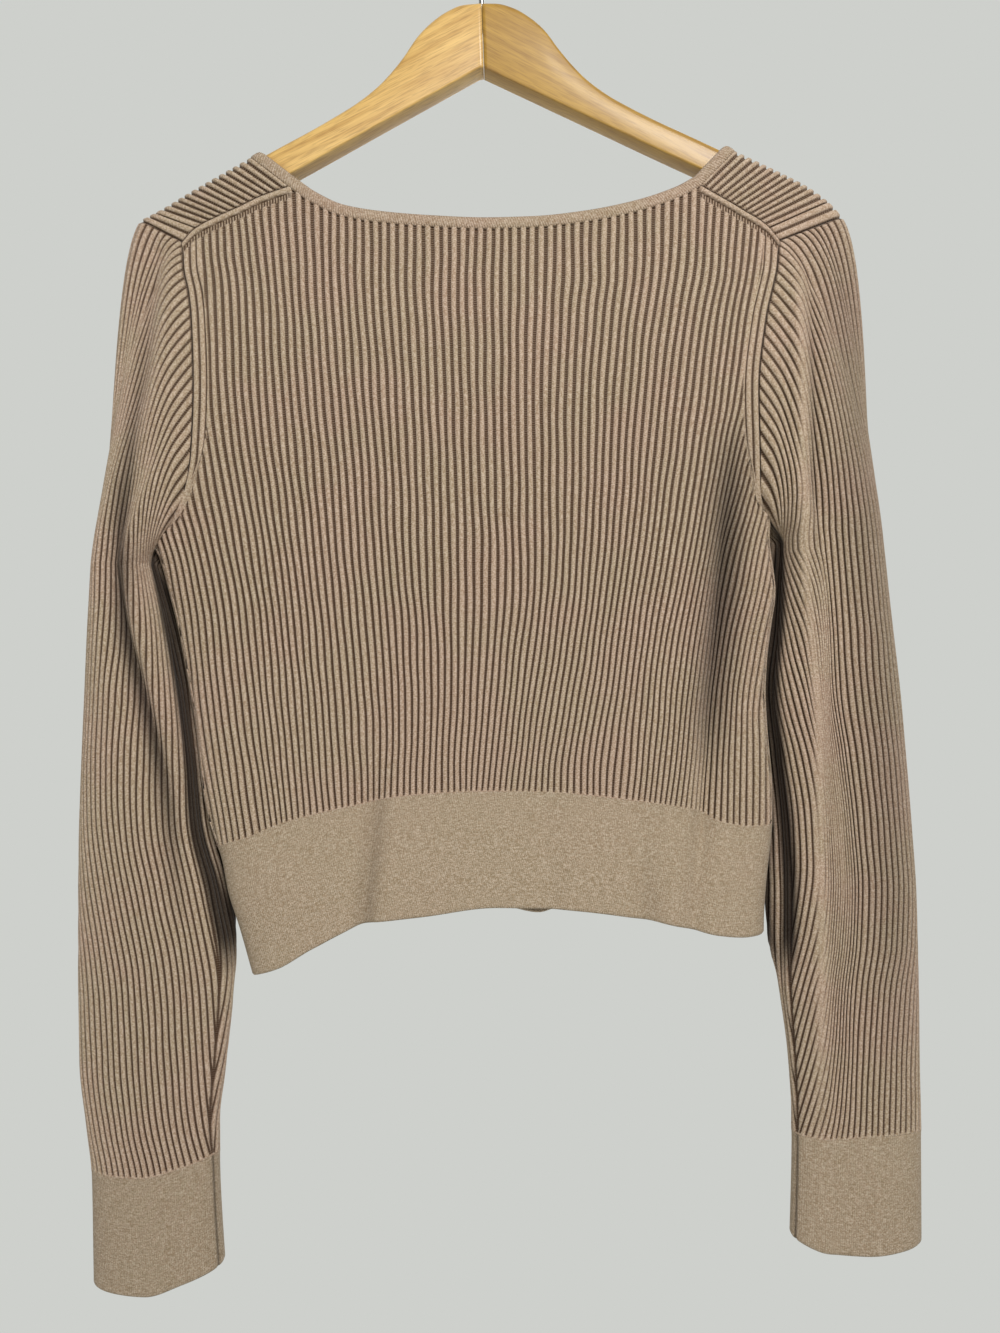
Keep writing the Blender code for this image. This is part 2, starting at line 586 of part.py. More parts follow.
def neckband_grid():
    """Return the neckband: its lower edge is the panels' neck edge, and it stands up into the neck."""
    loop = neck_loop()
    points = np.array([point for point, normal in loop])
    normals = np.array([normal for point, normal in loop])
    run = np.roll(points, -1, axis=0) - np.roll(points, 1, axis=0)
    into = np.cross(run, normals)
    into /= np.linalg.norm(into, axis=1, keepdims=True)
    middle = points.mean(axis=0)
    into *= np.sign(np.sum(into * (middle + np.array([0, 0, NECK_CENTRE_LIFT]) - points)))
    low = [(p, n) for p, n in zip(points, normals)]
    high = [(p + d * NECKBAND_WIDTH, n) for p, d, n in zip(points, into, normals)]
    return [low + low[:1], high + high[:1]]


# ---------------------------------------------------------------- meshes

def drawn_back(vertex, normal):
    """Return how a rim point moves so that each rim edge at it draws back by half a seam gap."""
    ways = []
    for edge in vertex.link_edges:
        if len(edge.link_faces) != 1:
            continue
        into = edge.link_faces[0].calc_center_median() - (edge.verts[0].co + edge.verts[1].co) / 2
        run = edge.other_vert(vertex).co - vertex.co
        run = (run - normal * run.dot(normal)).normalized()
        into = into - normal * into.dot(normal)
        ways.append((into - run * into.dot(run)).normalized())
    if not ways:
        return Vector()
    share = max(MITRE_LEAST, 1 + ways[0].dot(ways[1]))
    return (ways[0] + ways[1]) * (SEAM_GAP * MM / 2 / share)


def middle_sheet(mesh, grid, closed):
    """Add the middle surface's faces to a mesh and return its points, row by row."""
    sheet = []
    for row in grid:
        count = len(row) - 1 if closed else len(row)
        line = [station and mesh.verts.new(Vector(station[0]) * MM) for station in row[:count]]
        sheet.append(line + line[:1] if closed else line)
    for low, high in zip(sheet, sheet[1:]):
        for corners in zip(low, low[1:], high[1:], high):
            if None not in corners:
                mesh.faces.new(corners)
    return sheet


def wall(name, grid, thickness, closed, material):
    """Make a cloth piece: a closed wall of even thickness about its middle surface."""
    mesh = bmesh.new()
    sheet = middle_sheet(mesh, grid, closed)
    normals = {}
    for line, stations in zip(sheet, grid):
        for vertex, station in zip(line, stations):
            if vertex:
                normals[vertex] = Vector(station[1])
    middle = {vertex: vertex.co + drawn_back(vertex, normal) for vertex, normal in normals.items()}
    rim = [edge for edge in mesh.edges if len(edge.link_faces) == 1]
    faces = list(mesh.faces)
    partner = {}
    for vertex, normal in normals.items():
        offset = normal * thickness / 2 * MM
        partner[vertex] = mesh.verts.new(middle[vertex] - offset)
        vertex.co = middle[vertex] + offset
    for face in faces:
        mesh.faces.new([partner[vertex] for vertex in face.verts])
    for edge in rim:
        low, high = sorted(edge.verts, key=lambda vertex: vertex.co.z)
        mesh.faces.new([low, high, partner[low]])
        mesh.faces.new([high, partner[high], partner[low]])
    bmesh.ops.recalc_face_normals(mesh, faces=mesh.faces)
    return finish(name, mesh, material, smooth=True)


def finish(name, mesh, material, smooth):
    """Turn a bmesh into a named object with its material."""
    data = bpy.data.meshes.new(name)
    mesh.to_mesh(data)
    mesh.free()
    if smooth:
        data.shade_smooth()
        data.set_sharp_from_angle(angle=SHARP_ANGLE)
    data.materials.append(material)
    part = bpy.data.objects.new(name, data)
    bpy.context.collection.objects.link(part)
    return part


def make_material(name, colour, roughness, metallic):
    """Make a Principled material."""
    material = bpy.data.materials.new(name)
    material.use_nodes = True
    shader = material.node_tree.nodes["Principled BSDF"]
    shader.inputs["Base Color"].default_value = (*colour, 1)
    shader.inputs["Roughness"].default_value = roughness
    shader.inputs["Metallic"].default_value = metallic
    return material


# ---------------------------------------------------------------- hanger

def arm_stations(side):
    """Return the arm's sections from the mitre to its end: x, top, bottom and half thickness."""
    half = ARM_THICKNESS / 2
    top = ARM_TOP[side]
    low = smooth_through(ARM_LOW["x"], ARM_LOW["z"])
    stations = [(MITRE_X + side * SEAM_GAP / 2, ARM_APEX, ARM_LOW["z"][0], half)]
    stations += [(side * x, z, float(low(x)), half) for x, z in zip(top["x"], top["z"])]
    stations.append((side * ARM_END["x"], ARM_END["top"], ARM_END["low"], half - ARM_END["taper"]))
    return stations


def arm_section(x, top, low, half):
    """Return the points round one upright section of an arm."""
    points = []
    tall = ARM_TOP_ROUND / math.cos(ARM_SLOPE)
    for degrees in ARM_ROUND_DEGREES:
        angle = math.radians(degrees)
        y = half - ARM_TOP_ROUND * (1 - math.cos(angle))
        points.append((x, y, top - tall * (1 - math.sin(angle))))
    points += [(x, -y, z) for x, y, z in reversed(points)]
    points += [(x, -half, low + ARM_LOW_ROUND), (x, -half + ARM_LOW_ROUND, low)]
    points += [(x, half - ARM_LOW_ROUND, low), (x, half, low + ARM_LOW_ROUND)]
    return points


def hanger_arm(name, side, material):
    """Make one wooden arm: its sections bridged and capped, with half of the hook's hole cut out."""
    mesh = bmesh.new()
    rings = []
    for station in arm_stations(side):
        rings.append([mesh.verts.new(Vector(point) * MM) for point in arm_section(*station)])
    for first, second in zip(rings, rings[1:]):
        for k in range(len(first)):
            mesh.faces.new([first[k - 1], first[k], second[k], second[k - 1]])
    mesh.faces.new(rings[0])
    mesh.faces.new(rings[-1])
    bmesh.ops.recalc_face_normals(mesh, faces=mesh.faces)
    part = finish(name, mesh, material, smooth=True)
    cut_hook_hole(part)
    part.matrix_world = Matrix.Rotation(-HANGER_TILT, 4, "Y")
    return part


def cut_hook_hole(part):
    """Cut the hole for the hook's shank into an arm's top."""
    mesh = bmesh.new()
    radius = (HOOK_WIRE / 2 + SEAM_GAP) * MM
    bmesh.ops.create_cone(mesh, cap_ends=True, segments=HOOK_HOLE_SEGMENTS, radius1=radius, radius2=radius,
                          depth=2 * HOOK_SINK * MM)
    bmesh.ops.translate(mesh, verts=mesh.verts, vec=(MITRE_X * MM, 0, ARM_APEX * MM))
    cutter = finish(part.name + "_hole_guide", mesh, part.data.materials[0], smooth=False)
    cutter.hide_render = True
    cutter.display_type = "WIRE"
    cut = part.modifiers.new("hook_hole", "BOOLEAN")
    cut.operation = "DIFFERENCE"
    cut.solver = "EXACT"
    cut.object = cutter
    cutter.matrix_world = Matrix.Rotation(-HANGER_TILT, 4, "Y")


def hanger_hook(material):
    """Make the hook: a shank in the wood's hole, a bend and a round crook over the origin."""
    radius = HOOK_CROOK + HOOK_WIRE / 2
    route = [(MITRE_X, ARM_APEX - HOOK_SINK + SEAM_GAP), (MITRE_X, ARM_APEX), (MITRE_X, HOOK_BEND_Z)]
    route += [(radius * share, z) for share, z in HOOK_BEND]
    for degrees in HOOK_ARC:
        angle = math.radians(degrees)
        route.append((radius * math.cos(angle), -HOOK_CROOK + radius * math.sin(angle)))
    curve = bpy.data.curves.new("hanger_hook", "CURVE")
    curve.dimensions = "3D"
    curve.bevel_depth = HOOK_WIRE / 2 * MM
    curve.bevel_resolution = 3
    curve.use_fill_caps = True
    spline = curve.splines.new("POLY")
    spline.points.add(len(route) - 1)
    for point, (x, z) in zip(spline.points, route):
        point.co = (x * MM, 0, z * MM, 1)
    curve.materials.append(material)
    part = bpy.data.objects.new("hanger_hook", curve)
    bpy.context.collection.objects.link(part)
    part.matrix_world = Matrix.Rotation(-HANGER_TILT, 4, "Y")
    return part


# ---------------------------------------------------------------- garment

def build():
    """Build the sweater and its hanger."""
    for item in list(bpy.data.objects):
        bpy.data.objects.remove(item)
    material = {name: make_material(name, **look) for name, look in MATERIALS.items()}
    rib, plain = material["ribbed_knit"], material["smooth_knit"]
    back_places = [place for place, top in back_columns()]
    front_places = [place for place, top, strip in front_columns()]
    wall("back_panel", back_grid(), RIB_WALL, False, rib)
    wall("front_panel", front_grid(), RIB_WALL, False, rib)
    wall("hem_band_back", hem_grid(BACK, back_places), BAND_WALL, False, plain)
    wall("hem_band_front", hem_grid(FRONT, front_places), BAND_WALL, False, plain)
    for side, word in ((LEFT, "left"), (RIGHT, "right")):
        cuff_rows, sleeve_rows = arm_grids(side)
        wall("sleeve_" + word, sleeve_rows, RIB_WALL, True, rib)
        wall("cuff_" + word, cuff_rows, BAND_WALL, True, plain)
        hanger_arm("hanger_arm_" + word, side, material["lacquered_wood"])
    wall("neckband", neckband_grid(), BAND_WALL, True, plain)
    hanger_hook(material["steel_wire"])


build()
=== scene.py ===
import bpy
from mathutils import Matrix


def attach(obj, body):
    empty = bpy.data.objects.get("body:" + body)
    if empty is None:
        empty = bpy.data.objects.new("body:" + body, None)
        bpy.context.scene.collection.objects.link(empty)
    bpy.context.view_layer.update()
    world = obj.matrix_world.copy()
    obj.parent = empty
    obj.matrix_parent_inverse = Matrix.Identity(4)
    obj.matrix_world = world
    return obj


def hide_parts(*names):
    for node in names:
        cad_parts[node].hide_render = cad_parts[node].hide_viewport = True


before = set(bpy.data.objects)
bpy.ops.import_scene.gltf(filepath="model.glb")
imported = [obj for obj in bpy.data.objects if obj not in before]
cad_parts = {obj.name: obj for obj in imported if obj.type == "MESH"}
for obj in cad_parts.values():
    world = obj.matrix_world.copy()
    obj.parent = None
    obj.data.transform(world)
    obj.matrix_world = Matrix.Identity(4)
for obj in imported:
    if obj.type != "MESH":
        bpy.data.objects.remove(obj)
"""The looks of a cropped knit sweater on a wooden hanger.

Tables are in millimetres, in the frame of the CAD: +Z up, the back of the garment towards -Y, and the
origin at the inside top of the hook's crook. Each cloth piece is a thin ribbed or smooth shell on its
solid's form. A rib column keeps its place in the knit from the hem to the neck, so the ribs bend,
spread and close up where the cloth does, and they are cut off at the seams as sewn ribs are.
"""
import logging
import math
from dataclasses import dataclass, field
from enum import Enum, IntEnum
from typing import Callable, Sequence

import bmesh
import bpy
import numpy as np
from mathutils import Vector

Array = np.ndarray
LOG = logging.getLogger("sweater")
MM = 0.001
BODY = "root"
# The rib number that marks the open ladder below the shoulder seams
LADDER_MARK = 500
# Degrees at which the rounding over a shoulder is cut, from upright to level
TURNS = (90, 75, 60, 45, 30, 15, 0)
# Millimetres from a linked edge over which ribs rise out of the seam
OUT_OF_SEAM = (0.1, 1.3)
# How far a near face may turn away, as the y of its direction
NEAR_SIDE = 0.2
# Millimetres within which points of a mesh are merged
MERGE = 0.004
# How many times a sleeve's directions are evened out
CALMINGS = 2
# The places round a cuff at which its seam and its end are known
ROUND_THE_CUFF = (-1, -0.75, -0.5, -0.25, 0, 0.25, 0.5, 0.75, 1)
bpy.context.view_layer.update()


class Way(IntEnum):
    """One of two opposite ways, as a sign."""

    @property
    def word(self) -> str:
        """The way's name in lower case."""
        return self.name.lower()


class Side(Way):
    """A side of the garment, as the sign of its x."""

    LEFT = -1
    RIGHT = 1


class Face(Way):
    """The back or the front of the garment, as the sign of its y."""

    BACK = -1
    FRONT = 1


# -------- numbers

def fixed(table: dict) -> dict:
    """Keep a table that is never changed as a class's field."""
    return field(default_factory=lambda: table)


def smooth_through(knots: Sequence[float], values: Sequence[float]) -> Callable:
    """Make a curve that runs smoothly through values at knots and stays level past the ends.

    Args:
        knots: Where the values are known.
        values: The value at each knot.

    Returns:
        A function of one number or array.
    """
    order = np.argsort(knots)
    at = np.asarray(knots, float)[order]
    value = np.asarray(values, float)[order]
    step = np.diff(at)
    rise = np.diff(value) / step
    before, after = rise[:-1], rise[1:]
    same_way = before * after > 0
    slope = np.zeros(len(at))
    slope[1:-1][same_way] = 2 * (before * after)[same_way] / (before + after)[same_way]
    slope[0], slope[-1] = rise[0], rise[-1]

    def read(x: Array) -> Array:
        """Read the curve at x.

        Args:
            x: Where to read, a number or an array.

        Returns:
            The values there.
        """
        x = np.clip(x, at[0], at[-1])
        i = np.clip(np.searchsorted(at, x, side="right") - 1, 0, len(step) - 1)
        t = (x - at[i]) / step[i]
        held = value[i] * (1 + 2 * t) * (1 - t) ** 2 + value[i + 1] * t * t * (3 - 2 * t)
        turned = slope[i] * t * (1 - t) ** 2 - slope[i + 1] * t * t * (1 - t)
        return held + turned * step[i]

    return read


def curves(table: dict, key: str) -> dict:
    """Make one smooth curve for each column of a table but its key."""
    return {name: smooth_through(table[key], values) for name, values in table.items() if name != key}


def unit(vectors: Array) -> Array:
    """Bring vectors to length one."""
    return vectors / np.maximum(np.linalg.norm(vectors, axis=-1, keepdims=True), 1e-9)


def ease(low: float, high: float, x: Array) -> Array:
    """Rise smoothly from 0 at low to 1 at high."""
    t = np.clip((np.asarray(x, float) - low) / (high - low), 0, 1)
    return t * t * (3 - 2 * t)


def reach_along(points: Array, axis: int = 0) -> Array:
    """Measure the distance run along rows of points from their start.

    Args:
        points: Rows of points.
        axis: The axis that counts along a row.

    Returns:
        The distances, 0 at the start.
    """
    steps = np.linalg.norm(np.diff(points, axis=axis), axis=-1)
    shape = list(steps.shape)
    shape[axis] = 1
    return np.concatenate([np.zeros(shape), np.cumsum(steps, axis=axis)], axis=axis)


def read_rows(at: Array, known: Array, values: Array) -> Array:
    """Read each row of values at its own places.

    Args:
        at: Rows by columns of places to read.
        known: Places of the values, rows by samples, or one row for all.
        values: Rows by samples by components.

    Returns:
        Rows by columns by components.
    """
    known = np.broadcast_to(known, values.shape[:2])
    return np.stack([np.stack([np.interp(places, row, line) for line in value.T], axis=-1)
                     for places, row, value in zip(at, known, values)])


# -------- meshes

@dataclass
class Sheet:
    """A grid of cloth: rows by columns of points, with what its mesh needs.

    Attributes:
        points: Places in mm.
        outwards: Directions that the cloth faces.
        uv: Rib number across and millimetres along.
        relief: Height in the knit, from 0 in a groove to 1 on a rib.
        keep: Which points belong to the cloth.
        painted_shade: Painted shade, from 0 to 1, that darkens the cloth where it lies deep in a fold or
            between two pieces.
    """

    points: Array
    outwards: Array
    uv: Array
    relief: Array
    keep: Array | None = None
    painted_shade: Array | None = None

    def make(self, name: str, material: bpy.types.Material, thickness: float = 0.0,
             close_ends: bool = False) -> bpy.types.Object:
        """Make the sheet's object.

        Args:
            name: The piece's name.
            material: Its finish.
            thickness: Cloth thickness in mm, laid inwards, or 0 for none.
            close_ends: Whether open ends get a cap.

        Returns:
            The finished object.
        """
        rows, columns = self.points.shape[:2]
        grid = bmesh.new()
        grid.loops.layers.uv.new("UVMap")
        bmesh.ops.create_grid(grid, x_segments=columns - 1, y_segments=rows - 1, size=1.0, calc_uvs=True)
        data = bpy.data.meshes.new(name)
        grid.to_mesh(data)
        grid.free()
        flat = np.empty(len(data.vertices) * 3, np.float32)
        data.vertices.foreach_get("co", flat)
        flat = flat.reshape(-1, 3)
        column = np.rint((flat[:, 0] + 1) / 2 * (columns - 1)).astype(int)
        row = np.rint((flat[:, 1] + 1) / 2 * (rows - 1)).astype(int)
        data.vertices.foreach_set("co", (self.points[row, column] * MM).astype(np.float32).ravel())
        corner = np.empty(len(data.loops), np.int32)
        data.loops.foreach_get("vertex_index", corner)
        uv = self.uv[row, column][corner]
        data.uv_layers["UVMap"].data.foreach_set("uv", uv.astype(np.float32).ravel())
        # Painted shade rides on the mesh as a number of its own, for the finish to darken the colour with
        painted_shade = np.zeros_like(self.relief) if self.painted_shade is None else self.painted_shade
        for kind, values in (("relief", self.relief), ("painted_shade", painted_shade)):
            layer = data.attributes.new(kind, "FLOAT", "POINT").data
            layer.foreach_set("value", values[row, column].astype(np.float32))
        self._clean(data, row, column, close_ends)
        data.shade_smooth()
        data.materials.append(material)
        piece = bpy.data.objects.new(name, data)
        bpy.context.collection.objects.link(piece)
        if thickness:
            solid = piece.modifiers.new("cloth thickness", "SOLIDIFY")
            solid.thickness = thickness * MM
            solid.offset = -1
        return piece

    def _clean(self, data: bpy.types.Mesh, row: Array, column: Array, close_ends: bool) -> None:
        """Cut away what isn't cloth, merge what meets, and face the mesh outwards.

        Args:
            data: The sheet's mesh.
            row: Each vertex's row.
            column: Each vertex's column.
            close_ends: Whether open ends get a cap.
        """
        across = np.roll(self.points, -1, axis=1)[:-1, :-1] - self.points[:-1, :-1]
        up = np.roll(self.points, -1, axis=0)[:-1, :-1] - self.points[:-1, :-1]
        inside_out = np.sum(np.cross(across, up) * self.outwards[:-1, :-1]) < 0
        mesh = bmesh.new()
        mesh.from_mesh(data)
        mesh.verts.ensure_lookup_table()
        if self.keep is not None:
            kept = self.keep[row, column]
            gone = [vertex for vertex, stays in zip(mesh.verts, kept) if not stays]
            bmesh.ops.delete(mesh, geom=gone, context="VERTS")
        bmesh.ops.remove_doubles(mesh, verts=mesh.verts, dist=MERGE * MM)
        if close_ends:
            bmesh.ops.holes_fill(mesh, edges=mesh.edges, sides=0)
            bmesh.ops.recalc_face_normals(mesh, faces=mesh.faces)
        elif inside_out:
            bmesh.ops.reverse_faces(mesh, faces=mesh.faces)
        mesh.to_mesh(data)
        mesh.free()


def declare(piece: bpy.types.Object, slot: str, *nodes: str) -> None:
    """Let a piece ride with the garment and stand for its solids, which are hidden, and log its triangles.

    Args:
        piece: The finished object.
        slot: Not used.
        *nodes: The solids that it stands for.
    """
    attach(piece, BODY)
    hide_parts(*nodes)
    shown = piece.evaluated_get(bpy.context.evaluated_depsgraph_get()).to_mesh()
    shown.calc_loop_triangles()
    LOG.info("%s: %d triangles", piece.name, len(shown.loop_triangles))


# -------- forms

@dataclass
class Shoulders:
    """The strips of cloth over the hanger's arms and the seams below them on the back."""

    half_depth: float = 8.5
    rounding: float = 5.5
    flat_half: float = 3.0
    top: dict = fixed({
        Side.LEFT: dict(
            x=(-198.5, -190, -183.4, -173.6, -154, -133), z=(-200.6, -196.2, -192.5, -186.4, -175, -163.2)),
        Side.RIGHT: dict(
            x=(217.5, 213, 205, 196.4, 186.2, 165.8, 153.5),
            z=(-198.5, -193, -186, -180.2, -174.8, -165, -159.3))})
    seam: dict = fixed({
        Side.LEFT: dict(
            x=(-173, -165.7, -151, -139, -127, -110), z=(-214, -206, -198.2, -192.8, -187, -181)),
        Side.RIGHT: dict(x=(179, 171.5, 156.5, 144.6, 133), z=(-213.5, -204, -194, -187, -180.5))})

    def _line(self, table: dict, share: Array, y: float) -> Array:
        """Read a shoulder line at shares from the sleeve to the neck."""
        x = table["x"][0] + share * (table["x"][-1] - table["x"][0])
        return np.stack([x, np.full_like(x, y), smooth_through(table["x"], table["z"])(x)], axis=-1)

    def direction(self, side: Side) -> tuple[Array, Array]:
        """Return the direction of a shoulder to the neck, and the way down from it.

        Args:
            side: Which shoulder.

        Returns:
            Two unit vectors.
        """
        x, z = self.top[side]["x"], self.top[side]["z"]
        inwards = unit(np.array([x[-1] - x[0], 0, z[-1] - z[0]]))
        return inwards, np.array([inwards[2] * -side, 0, -abs(inwards[0])])

    def front_start(self, side: Side, x: Array) -> Array:
        """Return the height at which the front panel begins to round over the arm at x.

        Args:
            side: Which shoulder.
            x: Places across.

        Returns:
            The heights.
        """
        inwards, _ = self.direction(side)
        table = self.top[side]
        return smooth_through(table["x"], table["z"])(x) - self.rounding / abs(inwards[0])

    def path(self, side: Side, share: Array, turns: Sequence[float],
             rows: Sequence[float]) -> tuple[Array, Array]:
        """Return the strip from the front, over the shoulder, to the back seam.

        Args:
            side: Which shoulder.
            share: Places along the shoulder, 0 at the sleeve to 1 at the neck.
            turns: Degrees from upright (90) to level (0) at which the rounding is cut.
            rows: Shares of the flat back part at which it is cut.

        Returns:
            Points and outward directions, rows by places.
        """
        share = np.asarray(share, float)
        top = self._line(self.top[side], share, 0.0)
        seam = self._line(self.seam[side], share, -self.half_depth)
        _, down = self.direction(side)
        points, normals = [], []
        for face, angles in ((Face.FRONT, turns), (Face.BACK, tuple(reversed(turns)))):
            to_seam, straight_down = (seam - top) * (1, 0, 1), np.broadcast_to((0, 0, -1.0), top.shape)
            slant = to_seam if face == Face.BACK else straight_down
            for degrees in angles:
                angle = math.radians(degrees)
                drop = self.rounding * (1 - math.cos(angle))
                point = top + slant * (drop / (slant @ down))[:, None]
                point[:, 1] = face * (self.flat_half + self.rounding * math.sin(angle))
                normal = -down * math.cos(angle) + np.array([0, face * math.sin(angle), 0])
                points.append(point)
                normals.append(np.broadcast_to(unit(normal), point.shape))
        start = points[-1]
        for row in rows:
            points.append(start + (seam - start) * row)
            normals.append(np.broadcast_to((0, -1.0, 0), start.shape))
        return np.array(points), np.array(normals)


@dataclass(frozen=True)
class Line:
    """A soft line down the cloth: a fold that dips or rises, a stretch of ribs drawn flat, or a band of
    painted shade.
    """

    z: tuple
    x: tuple
    amount: tuple
    width: float

    def at(self, x: Array, z: Array) -> Array:
        """Return how strong the line is at places."""
        middle, amount = smooth_through(self.z, self.x)(z), smooth_through(self.z, self.amount)(z)
        return amount * np.exp(-((x - middle) / self.width) ** 2)


@dataclass
class Torso:
    """The flattened tube of the body: level sections, folds, hem and neck lines."""

    shoulders: Shoulders
    wall: float = 2.0
    ease_below: float = 12.0
    fold_end: int = 6
    samples: int = 260
    lowest: float = -662.0
    highest: float = -150.0
    level_step: float = 2.0
    underarm: dict = fixed({Side.LEFT: (-195.5, -389.0), Side.RIGHT: (176.0, -374.0)})
    sides: dict = fixed(dict(
        z=(-650, -620, -600, -580, -560, -540, -500, -480, -460, -440, -420, -405, -395, -389, -374),
        left=(-133, -141.5, -148, -152, -158.5, -163, -167.5, -171, -174.5, -178.5, -183.5, -187.5, -191,
              -195.5, -199),
        right=(172.5, 172.5, 173.5, 175.5, 177.5, 177.5, 174.5, 173.5, 174.5, 177, 179.5, 178, 176.5, 176,
               176)))
    depth: dict = fixed(dict(
        z=(-650, -600, -560, -500, -400, -320, -260, -215, -160),
        middle=(16.5, 16, 14.5, 14, 14, 13, 11, 8.5, 8.5)))
    armhole: dict = fixed({
        (Side.LEFT, Face.BACK): dict(
            z=(-389, -380, -370, -355, -340, -300, -260, -245, -230, -214),
            x=(-195.5, -183, -175, -169.5, -166.7, -164.7, -166.5, -168.5, -172, -173)),
        (Side.RIGHT, Face.BACK): dict(
            z=(-374, -369, -360, -340, -300, -260, -245, -230, -213.5),
            x=(176, 171.5, 168.7, 167.5, 166, 170.5, 174, 177.5, 179)),
        (Side.LEFT, Face.FRONT): dict(
            z=(-389, -380, -365, -340, -300, -260, -230, -207),
            x=(-195.5, -184, -176, -170.5, -171, -181, -191, -198.5)),
        (Side.RIGHT, Face.FRONT): dict(
            z=(-374, -366, -350, -330, -300, -260, -230, -205),
            x=(176, 171, 167.5, 166.5, 171.5, 189, 204, 217.5))})
    rising: dict = fixed(dict(
        rise=(-60, -30, 0, 8, 20, 50, 90, 130, 160, 176),
        edge=(0, 0, 0, 6, 11, 14.5, 16, 14, 10.5, 8.5),
        flatness=(8, 8, 7, 6, 5, 3.6, 3, 3, 3, 3),
        rounding=(0.5, 0.5, 0.5, 0.7, 0.85, 1, 1, 1, 1, 1)))
    folds: dict = fixed({
        Face.BACK: (
            Line(z=(-290, -340, -400, -480, -540, -570, -600, -650),
                 x=(152.5, 150, 146, 139.5, 135.3, 133, 129, 126),
                 amount=(0, 3.5, 8, 9.5, 8.5, 6, 4.2, 3.6), width=6.8),
            Line(z=(-450, -520, -560, -600, -650), x=(-50, -56, -60, -64.5, -68),
                 amount=(0, 2.2, 4.8, 6, 6), width=7.2),
            Line(z=(-345, -385, -430, -480, -540), x=(163, 161, 159.5, 158, 157),
                 amount=(0, -3.2, -4.2, -3.2, 0), width=8.0),
            Line(z=(-530, -570, -610, -650), x=(98, 100, 102, 103), amount=(0, 1.2, 2.6, 2.8), width=8.0),
            Line(z=(-520, -560, -600, -650), x=(40, 42, 44, 46), amount=(0, 1.2, 2.0, 2.0), width=9.0)),
        Face.FRONT: (
            Line(z=(-350, -450, -560, -650), x=(-140, -130, -121, -117), amount=(0, 2.4, 3.6, 3.6),
                 width=11.0),
            Line(z=(-470, -530, -600, -650), x=(60, 64, 68, 70), amount=(0, 2.6, 3.6, 3.6), width=8.0),
            Line(z=(-500, -560, -600, -650), x=(-10, -12, -14, -16), amount=(0, 1.4, 2.2, 2.2),
                 width=10.0))})
    # Bands of painted shade on each face: in the trough of the big fold on the right, and in the hem's folds
    painted_shades: dict = fixed({
        Face.BACK: (
            Line(z=(-315, -350, -385, -426, -485, -535), x=(154, 149.4, 147.6, 144.7, 138.8, 134.7),
                 amount=(0, 0.5, 0.78, 0.78, 0.6, 0), width=11.0),
            Line(z=(-560, -600, -640), x=(101, 102, 103), amount=(0, 0.1, 0.16), width=6.0),
            Line(z=(-520, -560, -620), x=(-55, -59, -65), amount=(0, 0.18, 0.24), width=5.0)),
        Face.FRONT: ()})
    # Painted shade along the panel's sides below the underarms, where body and sleeve meet: how far in from
    # the edge it reaches, where it starts below the underarm, and how dark it gets
    side_shade: tuple = (3.2, 0.3)
    side_shade_starts: tuple = (3.0, -7.0)
    side_shade_strength: float = 0.9
    hem: dict = fixed(dict(
        place=(-1, -0.85, -0.7, -0.5, -0.25, 0, 0.14, 0.25, 0.5, 0.7, 0.8, 0.9, 1),
        seam=(-573, -566, -556.5, -548, -540.5, -538.3, -538.7, -539.5, -544.3, -550, -557, -559.5, -558.5),
        back=(-650, -642.5, -630, -616.5, -611, -606, -606.6, -607.5, -612.5, -619.5, -623, -624.5, -624),
        front=(-650, -640.5, -627, -614, -609.5, -612, -616.5, -611.5, -610, -617, -621, -623.5, -624)))
    back_neck: dict = fixed(dict(
        x=(-110, -97, -79, -55, -25, 5, 35, 65, 95, 121, 133),
        z=(-181, -190, -198, -202, -204.4, -205.6, -204.8, -201.6, -195.6, -187, -180.5)))
    front_neck: dict = fixed(dict(
        place=(0, 0.3, 0.55, 0.75, 0.88, 0.96, 1), drop=(1, 0.985, 0.93, 0.81, 0.62, 0.33, 0)))
    front_neck_depth: float = 136.0

    def __post_init__(self) -> None:
        """Cut the level sections of both faces."""
        self._sides = curves(self.sides, "z")
        self._depth = curves(self.depth, "z")["middle"]
        self._armhole = {place: curves(table, "z")["x"] for place, table in self.armhole.items()}
        self.rise_curves = curves(self.rising, "rise")
        self.hem_curves = curves(self.hem, "place")
        self.z = np.arange(self.lowest, self.highest, self.level_step)
        self.sections, self.reach, self.normals = {}, {}, {}
        for face in Face:
            rows = np.array([self._section(face, z) for z in self.z])
            heights = np.broadcast_to(self.z[:, None, None], rows.shape[:2] + (1,))
            points = np.concatenate([rows, heights], axis=2)
            self.sections[face] = points
            self.reach[face] = reach_along(rows, axis=1)
            across, up = np.gradient(points, axis=1), np.gradient(points, axis=0)
            self.normals[face] = unit(np.cross(across, up) * -face)

    def edge_x(self, side: Side, face: Face, z: float) -> float:
        """Return where the middle surface ends at height z.

        Args:
            side: Which edge.
            face: Which panel.
            z: The height.

        Returns:
            Its x.
        """
        if z <= self.underarm[side][1]:
            outline = self._sides["left" if side == Side.LEFT else "right"](z)
            blend = min(1.0, (self.underarm[side][1] - z) / self.ease_below)
            return outline - side * self.wall / 2 * blend
        return self._armhole[side, face](z)

